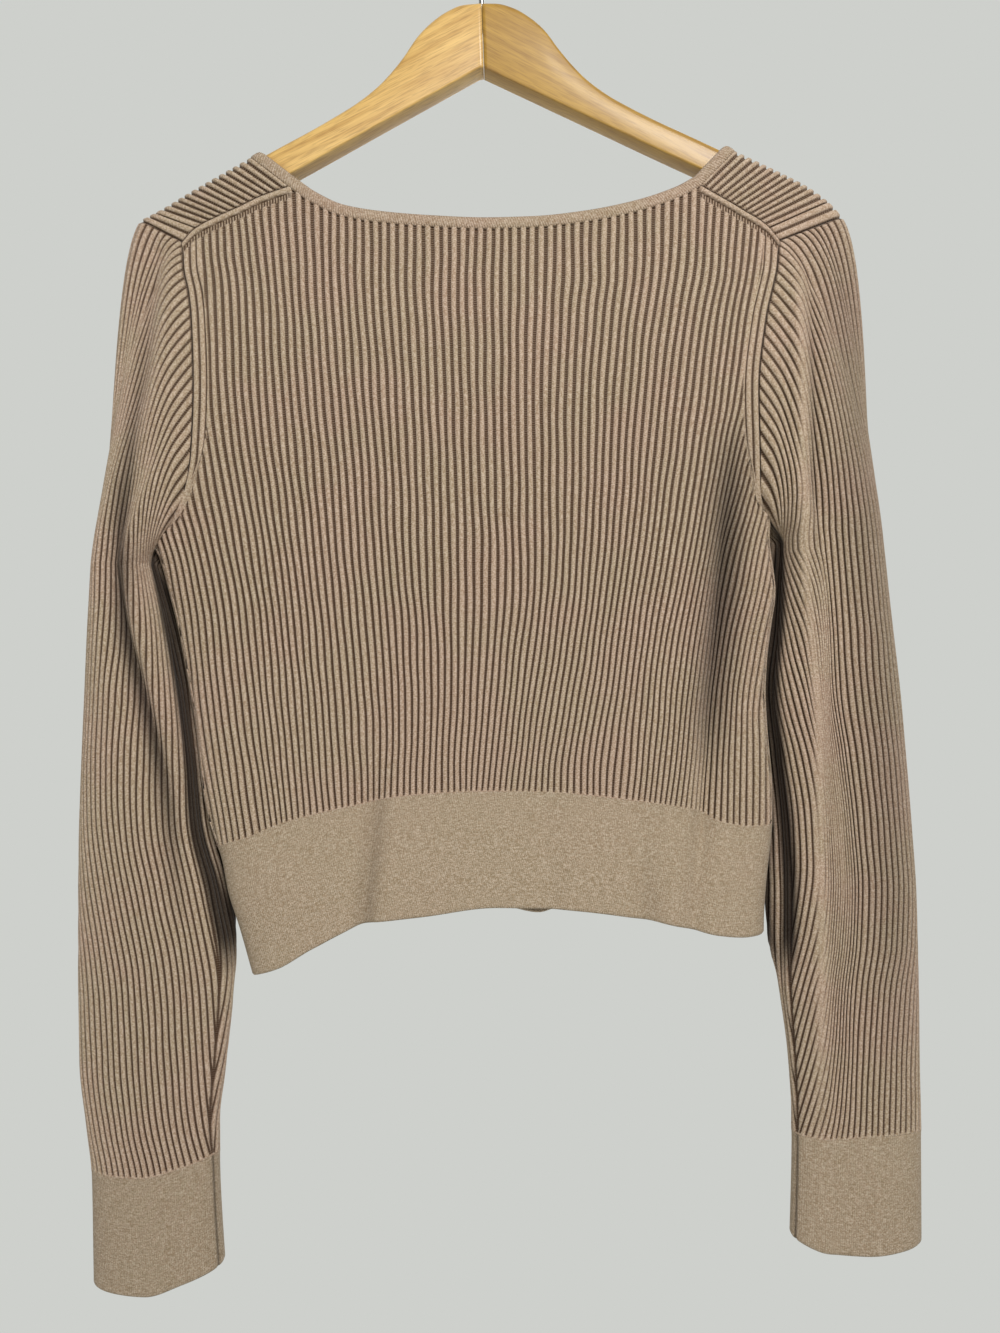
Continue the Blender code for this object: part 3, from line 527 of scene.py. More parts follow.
    def _section(self, face: Face, z: float) -> Array:
        """Cut one panel at height z, from its left edge to its right edge.

        Args:
            face: Which panel.
            z: The height.

        Returns:
            The x and y of its samples.
        """
        left, right = self.edge_x(Side.LEFT, face, z), self.edge_x(Side.RIGHT, face, z)
        place = -np.cos(np.linspace(0, math.pi, self.samples))
        x = left + (right - left) * (place + 1) / 2
        middle = self._depth(z)
        y = np.zeros_like(x)
        for side in Side:
            rise = z - self.underarm[side][1]
            edge = float(self.rise_curves["edge"](rise))
            crown = np.maximum(1 - np.abs(place) ** self.rise_curves["flatness"](rise), 0)
            half = np.sign(place) == side
            y[half] = edge + (middle - edge) * crown[half] ** self.rise_curves["rounding"](rise)
        y = y - sum(fold.at(x, z) for fold in self.folds[face]) * (1 - np.abs(place) ** self.fold_end)
        return np.stack([x, face * y], axis=1)

    def top(self, face: Face, x: Array) -> Array:
        """Return the height at which a panel ends at x: at its shoulder or at its neck.

        Args:
            face: Which panel.
            x: Places across.

        Returns:
            The heights.
        """
        if face == Face.BACK:
            left, right = (self.shoulders.seam[side] for side in Side)
            sleeve_to_neck = [smooth_through(table["x"], table["z"])(x) for table in (left, right)]
            neck = smooth_through(self.back_neck["x"], self.back_neck["z"])(x)
        else:
            left, right = (self.shoulders.top[side] for side in Side)
            sleeve_to_neck = [self.shoulders.front_start(side, x) for side in Side]
            rim = [float(self.shoulders.front_start(side, np.float64(table["x"][-1])))
                   for side, table in zip(Side, (left, right))]
            share = np.clip((x - left["x"][-1]) / (right["x"][-1] - left["x"][-1]), 0, 1)
            drop = smooth_through(self.front_neck["place"], self.front_neck["drop"])(np.abs(2 * share - 1))
            neck = rim[0] + share * (rim[1] - rim[0]) - self.front_neck_depth * drop
        past_left, past_right = x < left["x"][-1], x > right["x"][-1]
        return np.where(past_left, sleeve_to_neck[0], np.where(past_right, sleeve_to_neck[1], neck))

    def painted_shade(self, face: Face, points: Array, from_edge: Array) -> Array:
        """Return the painted shade on places of a panel: shade painted into its folds and between body and
        sleeve.

        Args:
            face: Which panel.
            points: The places.
            from_edge: Their distances from the panel's sides.

        Returns:
            The painted shade, from 0 to 1.
        """
        x, z = points[..., 0], points[..., 2]
        # Painted shade: bands along the folds, and along the sides below the underarms where the sleeves hang
        # close
        total = sum((shade.at(x, z) for shade in self.painted_shades[face]), np.zeros(x.shape))
        low = np.where(x < 0, self.underarm[Side.LEFT][1], self.underarm[Side.RIGHT][1])
        beside = ease(*self.side_shade, from_edge) * ease(*self.side_shade_starts, z - low)
        return np.clip(total + self.side_shade_strength * beside, 0, 1)

    def level(self, values: Array, z: Array) -> Array:
        """Read columns that are known on the levels at heights z, rows by columns.

        Args:
            values: Levels by columns, with or without components.
            z: Heights, rows by columns.

        Returns:
            The values there.
        """
        at = np.clip((z - self.z[0]) / self.level_step, 0, len(self.z) - 1.001)
        low = at.astype(int)
        share = at - low
        column = np.broadcast_to(np.arange(z.shape[1]), z.shape)
        if values.ndim == 3:
            share = share[..., None]
        return values[low, column] * (1 - share) + values[low + 1, column] * share

    def at_reach(self, face: Face, reach: Array) -> tuple[Array, Array]:
        """Return points and directions on each level at distances from the left edge."""
        return (read_rows(reach, self.reach[face], self.sections[face]),
                unit(read_rows(reach, self.reach[face], self.normals[face])))


@dataclass
class RibLines:
    """How the body's ribs run: the x of every fourth groove between two ribs, by height."""

    z: tuple = (-600, -540.9, -525.7, -510.4, -495.2, -479.9, -464.7, -449.5, -434.2, -419, -403.8, -388.5,
                -373.3, -358.1, -342.8, -327.6, -312.3, -297.1, -281.9, -266.6, -251.4, -236.2, -220.9, -160)
    first: int = -4
    step: int = 4
    x: tuple = (
        (-150, -174.6, -178.5, -181.4, -183.3, -185.2, -185.3, -187, -189.4, -191.8, -194.5, -199.3, -206.7,
         -209.1, -210, -211.9, -214.8, -213.7, -213.1, -215.5, -218.1, -218.2, -215.7, -213),
        (-146.5, -158.4, -161.4, -164.1, -166.1, -168, -168.8, -170.5, -172.5, -174.9, -177.7, -181.9,
         -187.9, -190.4, -191.6, -193.6, -196.2, -195.6, -195.4, -197.3, -199.5, -200, -198.7, -198),
        (-133.9, -142.6, -144.8, -147.1, -149.2, -150.9, -152.6, -154.1, -155.5, -158, -161.1, -164.7,
         -169.2, -171.6, -173.3, -175.2, -177.6, -177.5, -177.6, -179.1, -180.9, -181.8, -181.6, -183.5),
        (-116.7, -125.3, -127.5, -129.8, -131.8, -133.5, -135.3, -136.9, -138.4, -140.8, -143.7, -146.7,
         -149.7, -152.6, -154.9, -156.9, -158.9, -159.4, -159.8, -160.9, -162.3, -163.5, -164.5, -167.6),
        (-105.1, -111.7, -113.4, -114.9, -116.6, -118.1, -119.3, -120.7, -122.2, -124.4, -126.6, -128.9,
         -131.5, -134, -136.6, -138.6, -140.2, -141.2, -142, -142.8, -143.6, -145.1, -147.6, -151.3),
        (-92.1, -97.2, -98.5, -99.7, -100.8, -102.1, -103.6, -105, -106.6, -108.2, -110.2, -112.4, -114.5,
         -116.4, -118.6, -120.4, -121.7, -123, -123.9, -124.5, -125.6, -127.1, -129.1, -135),
        (-76.8, -81.9, -83.2, -84.2, -85.2, -86.3, -87.7, -88.9, -90.1, -91.9, -93.6, -95.1, -96.6, -98.4,
         -99.9, -101.4, -102.9, -104.2, -105.4, -106.4, -107.6, -108.8, -110.2, -115),
        (-66, -66.7, -66.9, -67.7, -68.3, -69.4, -70.5, -71.9, -73.4, -74.8, -76.3, -77.5, -78.6, -79.6,
         -80.9, -82.3, -84, -85.3, -86.5, -87.6, -88.9, -90.1, -90.5, -92),
        (-54.5, -53, -52.5, -52, -52, -52.7, -53.7, -54.7, -55.9, -57.2, -58.7, -59.9, -60.7, -61.4, -62.4,
         -63.9, -65.3, -66.4, -67.4, -68.7, -69.9, -70.9, -71.2, -72),
        (-39.4, -38.2, -37.9, -37.2, -37, -37.2, -37.8, -38.1, -39, -40.7, -41.8, -42.6, -43.1, -43.6, -44.4,
         -45.3, -46.3, -47, -48, -49.2, -50.7, -51.3, -51.3, -51.3),
        (-23.3, -23.3, -23.3, -22.7, -21.9, -21.6, -21.7, -22.2, -22.9, -23.5, -24, -24.4, -24.6, -25.1,
         -25.7, -26.3, -27.1, -27.7, -28.4, -29.2, -30.1, -30.6, -30.6, -30.6),
        (-8.7, -8.7, -8.7, -8, -7.1, -6.4, -5.9, -5.6, -5.4, -5.4, -5.4, -5.6, -6.2, -6.8, -7.3, -7.7, -8,
         -8.5, -8.9, -9.5, -10.3, -10.5, -9.7, -9.7),
        (-1, 3.7, 5.1, 6.4, 8, 9.3, 10.3, 11.6, 12.7, 13.2, 13.3, 13.1, 12.4, 11.9, 11.5, 11.1, 10.9, 10.7,
         10.6, 10.5, 10.1, 10, 10.4, 11),
        (11.4, 17.4, 19, 20.9, 22.4, 24.2, 25.9, 27.6, 29.6, 30.9, 31, 30.6, 30.2, 30.4, 30.2, 29.7, 29.5,
         29.4, 29.8, 29.9, 30.4, 30.8, 30.9, 32),
        (26.3, 31.3, 32.6, 34.5, 36.4, 38.7, 41.3, 43.2, 45, 46.7, 47.6, 48.3, 48.1, 48.2, 48.2, 48.1, 48.2,
         48.6, 49.3, 50, 50.9, 52.1, 53, 56),
        (43.7, 46.1, 46.7, 48.8, 51.2, 53.7, 56.3, 58.4, 60.6, 62.3, 63.5, 64.4, 65.1, 66, 66.3, 66.7, 66.8,
         67.6, 68.7, 70, 71.2, 73.3, 75, 80),
        (60.6, 61.7, 62, 63.5, 66.3, 68.9, 71.2, 73.2, 75.3, 77.3, 79.2, 80.7, 81.9, 82.9, 83.6, 84.4, 85.5,
         86.6, 87.8, 89.4, 91.5, 93.8, 96.7, 106),
        (74.4, 76.8, 77.4, 79.1, 81.2, 83.7, 85.7, 87.4, 89.4, 91.9, 94.1, 96.3, 97.9, 99.5, 100.8, 102,
         103.6, 105.1, 106.7, 108.7, 110.9, 113.8, 117.4, 130),
        (86.3, 92.5, 94.1, 95.4, 96.7, 98.1, 99.7, 101.9, 104.2, 106.6, 109.3, 111.7, 113.8, 115.7, 117.9,
         119.8, 121.7, 123.5, 125.4, 127.6, 130.4, 133.5, 137.2, 152),
        (99.2, 105.8, 107.5, 109.1, 110.6, 111.8, 113.4, 115.5, 118.4, 121.6, 124.6, 127.2, 129.9, 132.6,
         134.9, 137.1, 139.5, 141.5, 143.3, 145.3, 147.9, 151.3, 155.3, 171),
        (109.4, 118, 120.2, 121.8, 123.2, 124.7, 126.6, 128.9, 131.4, 134, 136.8, 139.9, 143, 145.7, 148.8,
         151.6, 155.2, 157.2, 159.1, 161.5, 164.3, 167.4, 171.8, 189),
        (124.8, 130.2, 131.6, 132.9, 133.8, 135.4, 137.6, 139.5, 141.4, 143.4, 146, 149.5, 153.6, 157.6,
         160.9, 164.9, 169.5, 173, 175, 177.6, 180.6, 183.4, 188.4, 206),
        (138.5, 141.6, 142.4, 143.5, 144.5, 145.7, 147.5, 149.6, 152.5, 155.8, 158.8, 162.5, 167, 171.3, 175,
         179.3, 184.5, 188.7, 190.8, 193.7, 196.9, 199.5, 205, 223),
        (155, 155.7, 155.9, 156.1, 156.4, 157.6, 159.8, 162.6, 166.3, 170.2, 173.9, 177.5, 182, 186.5, 190,
         194.5, 200, 204.4, 206.7, 209.8, 213.3, 215.6, 221.7, 240),
        (172, 172, 172.3, 172.3, 171.8, 173.2, 175.9, 179.2, 182.7, 186.3, 189.8, 193.5, 198, 202, 205.5,
         210, 215.5, 220.1, 222.5, 225.9, 229.6, 231.7, 238.3, 257),
        (189, 189, 189, 189, 188.5, 190, 193, 196, 199, 202, 206, 209, 214, 218, 221, 226, 231, 236, 238,
         242, 246, 248, 255, 274))

    @property
    def last(self) -> int:
        """The last groove's number."""
        return self.first + self.step * (len(self.x) - 1)

    def on_levels(self, z: Array, numbers: Array) -> Array:
        """Return the x of rib numbers on each level, both levels by columns.

        Args:
            z: The heights of the levels.
            numbers: Rib numbers, levels by columns.

        Returns:
            Their x, levels by columns.
        """
        keys = np.arange(self.first, self.last + 1, self.step)
        at_keys = np.stack([smooth_through(self.z, line)(z) for line in self.x], axis=1)
        return np.stack([smooth_through(keys, row)(wanted) for row, wanted in zip(at_keys, numbers)])


@dataclass
class RibKnitting:
    """How a rib is made of columns: their places between two grooves, and its height and wall."""

    phases: tuple = (0.0, 0.10, 0.23, 0.5, 0.77, 0.90)
    heights: tuple = (0.0, 0.14, 0.90, 1.0, 0.90, 0.14)
    open_shift: tuple = (0.0, 0.05, 0.06, 0.0, -0.06, -0.05)
    crest: float = 1.4
    depth: float = 1.7
    thickness: float = 0.8

    def numbers(self, first: int, last: int) -> Array:
        """Return the rib numbers of all columns from the first groove to the last."""
        whole = np.repeat(np.arange(first, last), len(self.phases))
        return np.append(whole + np.tile(self.phases, last - first), last)

    @staticmethod
    def wander(number: Array, along: Array) -> Array:
        """Return how far, in ribs, a rib strays from its line at places along it, as knitted cloth does."""
        return (0.025 * np.sin(0.83 * number + along / 9.7) + 0.025 * np.sin(1.9 * number - along / 17.3)
                + 0.018 * np.sin(0.41 * number + along / 5.9))

    def opened(self, first: int, last: int) -> Array:
        """Return how far each column moves, in ribs, where the grooves stand open."""
        return np.append(np.tile(self.open_shift, last - first), 0.0)

    def relief(self, first: int, last: int) -> Array:
        """Return each column's height in the knit, 0 in a groove to 1 on a rib."""
        return np.append(np.tile(self.heights, last - first), 0.0)

    def raise_up(self, points: Array, normals: Array, relief: Array) -> Array:
        """Move the middle surface out to the face of the knit."""
        return points + normals * (self.crest - self.depth * (1 - relief))[..., None]


@dataclass(frozen=True)
class SmoothBand:
    """How a smooth band is laid: how far its face stands out, and how its edge turns in."""

    crest: float = 1.15
    flush: float = 1.4
    turned: float = 0.9
    turn: float = 1.2
    seam: float = 3.0
    thickness: float = 1.9

    def rise(self, run: Array) -> Array:
        """Return how far the face stands out, by the distance from the band's free edge."""
        return (self.crest - self.turned * ease(self.turn, 0, run)
                + (self.flush - self.crest) * ease(self.seam, 0, run[-1:] - run))


@dataclass
class Panel:
    """A ribbed body panel with two border ribs along its armholes, and its shoulder strips."""

    torso: Torso
    lines: RibLines
    knit: RibKnitting
    face: Face
    border_pitch: float = 4.1
    border_ribs: int = 2
    border_high: float = -325.0
    border_low: float = -362.0
    rows_low: int = 38
    rows_high: int = 38
    top_rows: tuple = (8.4, 7.4, 7.4, 6.9, 5.8, 4.6, 4.0, 4.0, 3.4, 2.6, 1.4, 0.5, 0.0)
    ladder_rows: tuple = (2, 6)
    welt: float = 3.0
    ladder: float = 3.0
    widest: float = 5.3
    shoulder_slope: float = 27.5
    rung_spread: float = 0.74
    strip_rows: tuple = (0.1, 0.2, 0.3, 0.4, 0.5, 0.6, 0.7, 0.8, 0.87, 0.93, 0.97, 1.0)
    grooves_open: tuple = (-560, -290)
    border_numbers: tuple = (-60, 160)
    past_border: tuple = (0.3, 1.8)
    into_border: tuple = (-0.5, 0.4)
    at_side: float = 0.85
    guesses: tuple = (-545.0, -205.0)
    passes: int = 6
    split_height: float = -385.0
    first_rows: tuple = (0, 0.006, 0.014)
    unsewn: float = 99.0
    welt_rise: tuple = (-0.5, 0.9)
    welt_fall: tuple = (0.5, -0.3)
    ladder_end: tuple = (-0.3, 0.9)
    neck_blend: float = 3.0
    strip_end: tuple = (-0.5, 1.6)
    past_end: float = 0.002
    touching: float = 0.01

    def sheet(self) -> Sheet:
        """Knit the panel: its interior ribs cut off at the border, and the border's own ribs.

        Returns:
            The panel's sheet.
        """
        torso, knit, face = self.torso, self.knit, self.face
        first, last = self.lines.first, self.lines.last
        numbers = knit.numbers(first, last)
        by_level = numbers + knit.opened(first, last) * ease(*self.grooves_open, torso.z)[:, None]
        by_level = by_level + knit.wander(numbers[None, :], torso.z[:, None])
        x = self.lines.on_levels(torso.z, by_level)
        section_x = torso.sections[face][..., 0]
        reach = np.stack([np.interp(x[i], section_x[i], torso.reach[face][i]) for i in range(len(x))])
        reach = self._even(reach, by_level, torso.reach[face][:, -1])
        total = torso.reach[face][:, -1:]
        more = (self.border_ribs - 1) * ease(self.border_low, self.border_high, torso.z)
        width = self.border_pitch * (1 + more)
        columns = self.border_ribs * len(knit.phases)
        near = knit.numbers(0, self.border_ribs)
        left = np.minimum(near[None, :] * self.border_pitch, width[:, None])
        right = total - left[:, ::-1]
        everything = np.concatenate([left, np.clip(reach, 0, total), right], axis=1)
        points, normals = torso.at_reach(face, everything)
        z = self._heights(everything, points[..., 0])
        reach_at = torso.level(everything, z)
        total_at = torso.level(np.broadcast_to(total, everything.shape), z)
        width_at = torso.level(np.broadcast_to(width[:, None], everything.shape), z)
        points, normals = torso.level(points, z), unit(torso.level(normals, z))
        inner = slice(columns + 1, -columns - 1)
        low_cut = reach_at[:, inner] <= width_at[:, inner]
        high_cut = reach_at[:, inner] >= (total_at - width_at)[:, inner]
        for cut, at in ((low_cut, columns), (high_cut, -columns - 1)):
            for values in (points, normals):
                values[:, inner] = np.where(cut[..., None], values[:, at][:, None], values[:, inner])
        from_edge = np.minimum(reach_at, total_at - reach_at)
        near_border = from_edge[:, inner] - width_at[:, inner]
        border = knit.relief(0, self.border_ribs)
        full = np.zeros(reach_at.shape)
        full[:, :columns + 1], full[:, -columns - 1:] = border, border[::-1]
        closed = 1 - (1 - knit.relief(first, last)) * ease(*self.past_border, near_border)
        full[:, inner] = closed * ease(*self.into_border, near_border)
        run = reach_along(points)
        left_start, right_start = self.border_numbers
        rib_number = np.concatenate([left_start + near, numbers, right_start - near[::-1]])
        full = 1 - (1 - full) * ease(*OUT_OF_SEAM, run)
        if face == Face.FRONT:
            return self._with_strips(points, normals, full, rib_number)
        full = self._shoulder_welt(full, points)
        uv = np.stack([np.broadcast_to(rib_number, full.shape), run], axis=-1)
        low, high = (len(run) - len(self.top_rows) + row for row in self.ladder_rows)
        here = self._at_shoulder(points[-1, :, 0]) > 0.5
        rungs = points[-1, here, 0] / self._shoulder_cosine * self.rung_spread
        uv[low:high + 1, here] = np.stack([np.full_like(rungs, LADDER_MARK), rungs], axis=-1)
        return Sheet(knit.raise_up(points, normals, full), normals, uv, full,
                     painted_shade=torso.painted_shade(face, points, from_edge))

    @property
    def _shoulder_cosine(self) -> float:
        """Return the cosine of the shoulders' slope."""
        return math.cos(math.radians(self.shoulder_slope))

    def _even(self, reach: Array, numbers: Array, total: Array) -> Array:
        """Keep ribs from growing wider than knitted where the cloth turns round the side.

        Args:
            reach: Distances from the left edge, levels by columns.
            numbers: Rib numbers of the same columns.
            total: Each level's whole width.

        Returns:
            The evened distances.
        """
        middle = reach.shape[1] // 2
        most = np.diff(numbers, axis=1) * self.widest
        steps = np.diff(reach, axis=1)
        ends = (reach[:, 1:] >= total[:, None] - self.touching) | (reach[:, :-1] <= self.touching)
        steps = np.where(ends, most * self.at_side, np.minimum(steps, most))
        even = np.concatenate([np.zeros((len(reach), 1)), np.cumsum(steps, axis=1)], axis=1)
        return even - even[:, middle:middle + 1] + reach[:, middle:middle + 1]

    def _heights(self, reach: Array, x: Array) -> Array:
        """Return the height of each row on each column, from the hem seam to the top.

        Args:
            reach: Distances from the left edge, levels by columns.
            x: The x of the same places.

        Returns:
            Heights, rows by columns.
        """
        torso = self.torso
        total = np.broadcast_to(torso.reach[self.face][:, -1:], reach.shape)
        low, high = (np.full((1, reach.shape[1]), guess) for guess in self.guesses)
        for _ in range(self.passes):
            low = torso.hem_curves["seam"](2 * torso.level(reach, low) / torso.level(total, low) - 1)
            high = torso.top(self.face, torso.level(x, high))
        left, right = (torso.underarm[side][1] for side in Side)
        split = np.full_like(low, self.split_height)
        middle = left + (right - left) * (torso.level(reach, split) / torso.level(total, split))
        start = high - self.top_rows[0]
        shares = np.concatenate([self.first_rows, np.linspace(0, 1, self.rows_low + 1)[1:]])
        rows = [low + (middle - low) * share for share in shares]
        rows += [middle + (start - middle) * share for share in np.linspace(0, 1, self.rows_high + 1)[1:]]
        rows += [high - drop for drop in self.top_rows[1:]]
        return np.concatenate(rows)

    def _shoulder_welt(self, relief: Array, points: Array) -> Array:
        """Lay the plain rib and the open ladder along the back shoulder seams.

        Args:
            relief: Height in the knit, rows by columns.
            points: The same places.

        Returns:
            The height with both laid in.
        """
        at_shoulder = self._at_shoulder(points[-1, :, 0])
        down = np.full(len(relief), self.unsewn)
        down[-len(self.top_rows):] = self.top_rows
        away = down[:, None] * self._shoulder_cosine
        crest = ease(*self.welt_rise, away) * ease(*self.welt_fall, away - self.welt)
        below = ease(*self.ladder_end, away - self.welt - self.ladder)
        sewn = np.maximum(crest, relief * below)
        return relief + (sewn - relief) * at_shoulder[None, :]

    def _at_shoulder(self, x: Array) -> Array:
        """Return 1 at columns that end at a back shoulder seam and 0 at those that end at the neck.

        Args:
            x: Where the columns end.

        Returns:
            The share, with a soft change between.
        """
        left, right = (self.torso.shoulders.seam[side]["x"][-1] for side in Side)
        blend = self.neck_blend
        return np.maximum(ease(blend, -blend, x - left), ease(-blend, blend, x - right))

    def _with_strips(self, points: Array, normals: Array, relief: Array, number: Array) -> Sheet:
        """Carry the front's ribs over both shoulders to the back seams.

        Args:
            points: The front's own rows.
            normals: Their directions.
            relief: Their height in the knit.
            number: The columns' rib numbers.

        Returns:
            The whole front's sheet.
        """
        shoulders, own_rows = self.torso.shoulders, len(points)
        count = 2 * len(TURNS) + len(self.strip_rows) - 1
        x = points[-1, :, 0]
        more = np.zeros((count,) + points.shape[1:])
        facing = np.zeros_like(more)
        facing[..., 2] = 1
        on_strip = np.zeros(points.shape[1], bool)
        for side in Side:
            table = shoulders.top[side]["x"]
            share = (x - table[0]) / (table[-1] - table[0])
            here = (share > -self.past_end) & (share < 1.0)
            path, ways = shoulders.path(side, np.clip(share[here], 0, 1), TURNS, self.strip_rows)
            more[:, here], facing[:, here] = path[1:], ways[1:]
            on_strip |= here
        more[:, ~on_strip] = points[-1, ~on_strip]
        far = np.linalg.norm(more - more[-1], axis=-1)
        over = np.broadcast_to(relief[-1], more.shape[:2]) * ease(*self.strip_end, far)
        keep = np.ones((own_rows + count, points.shape[1]), bool)
        keep[own_rows:, ~on_strip] = False
        points = np.concatenate([points, more])
        normals = unit(np.concatenate([normals, facing]))
        normals[own_rows - 1] = unit(normals[own_rows - 2] + normals[own_rows])
        relief = np.concatenate([relief, over])
        uv = np.stack([np.broadcast_to(number, relief.shape), reach_along(points)], axis=-1)
        return Sheet(self.knit.raise_up(points, normals, relief), normals, uv, relief, keep)


@dataclass
class HemBand:
    """The smooth band below one panel."""

    torso: Torso
    band: SmoothBand
    face: Face
    columns: int = 260
    rows: int = 26
    edge_rows: tuple = (0, 0.008, 0.02, 0.035)
    inner_rows: tuple = (0.06, 0.97)
    seam_rows: tuple = (0.99, 1.0)

    def sheet(self) -> Sheet:
        """Lay the band from its edge up to the hem seam.

        Returns:
            The band's sheet.
        """
        torso = self.torso
        place = np.linspace(-1, 1, self.columns + 1)
        low = torso.hem_curves["back" if self.face == Face.BACK else "front"](place)
        seam = torso.hem_curves["seam"](place)
        shares = np.concatenate([self.edge_rows, np.linspace(*self.inner_rows, self.rows), self.seam_rows])
        z = low[None, :] + (seam - low)[None, :] * shares[:, None]
        reach = torso.reach[self.face][:, -1:] * (place + 1)[None, :] / 2
        points, normals = torso.at_reach(self.face, reach)
        points, normals = torso.level(points, z), unit(torso.level(normals, z))
        run = reach_along(points)
        across = reach_along(points, axis=1)
        from_edge = np.minimum(across, across[:, -1:] - across)
        uv = np.stack([across, run], axis=-1)
        return Sheet(points + normals * self.band.rise(run)[..., None], normals, uv, np.ones(run.shape),
                     painted_shade=torso.painted_shade(self.face, points, from_edge))


@dataclass(frozen=True)
class Cleft:
    """The painted shade in the gap between a sleeve and the body: how far it reaches, and where it starts and
    ends.
    """

    strength: float = 0.97
    reach: tuple = (5.0, 13.0)
    grows_over: float = 55.0
    soft: float = 6.0
    facing: tuple = (0.45, 0.75)
    starts: tuple = (4.0, -4.0)
    ends: tuple = (-655, -625)

    def at(self, low: float, towards_body: Array, y: Array, z: Array) -> Array:
        """Return how much painted shade falls on places of a sleeve in the gap beside the body.

        Args:
            low: The underarm's height.
            towards_body: How much a place faces the body, up to 1.
            y: Its depth.
            z: Its height.

        Returns:
            The painted shade, from 0 to 1.
        """
        narrow, wide = self.reach
        inside = narrow + (wide - narrow) * ease(low, low - self.grows_over, z) - np.abs(y)
        return (self.strength * ease(0, self.soft, inside) * ease(*self.facing, towards_body)
                * ease(*self.ends, z) * ease(*self.starts, z - low))


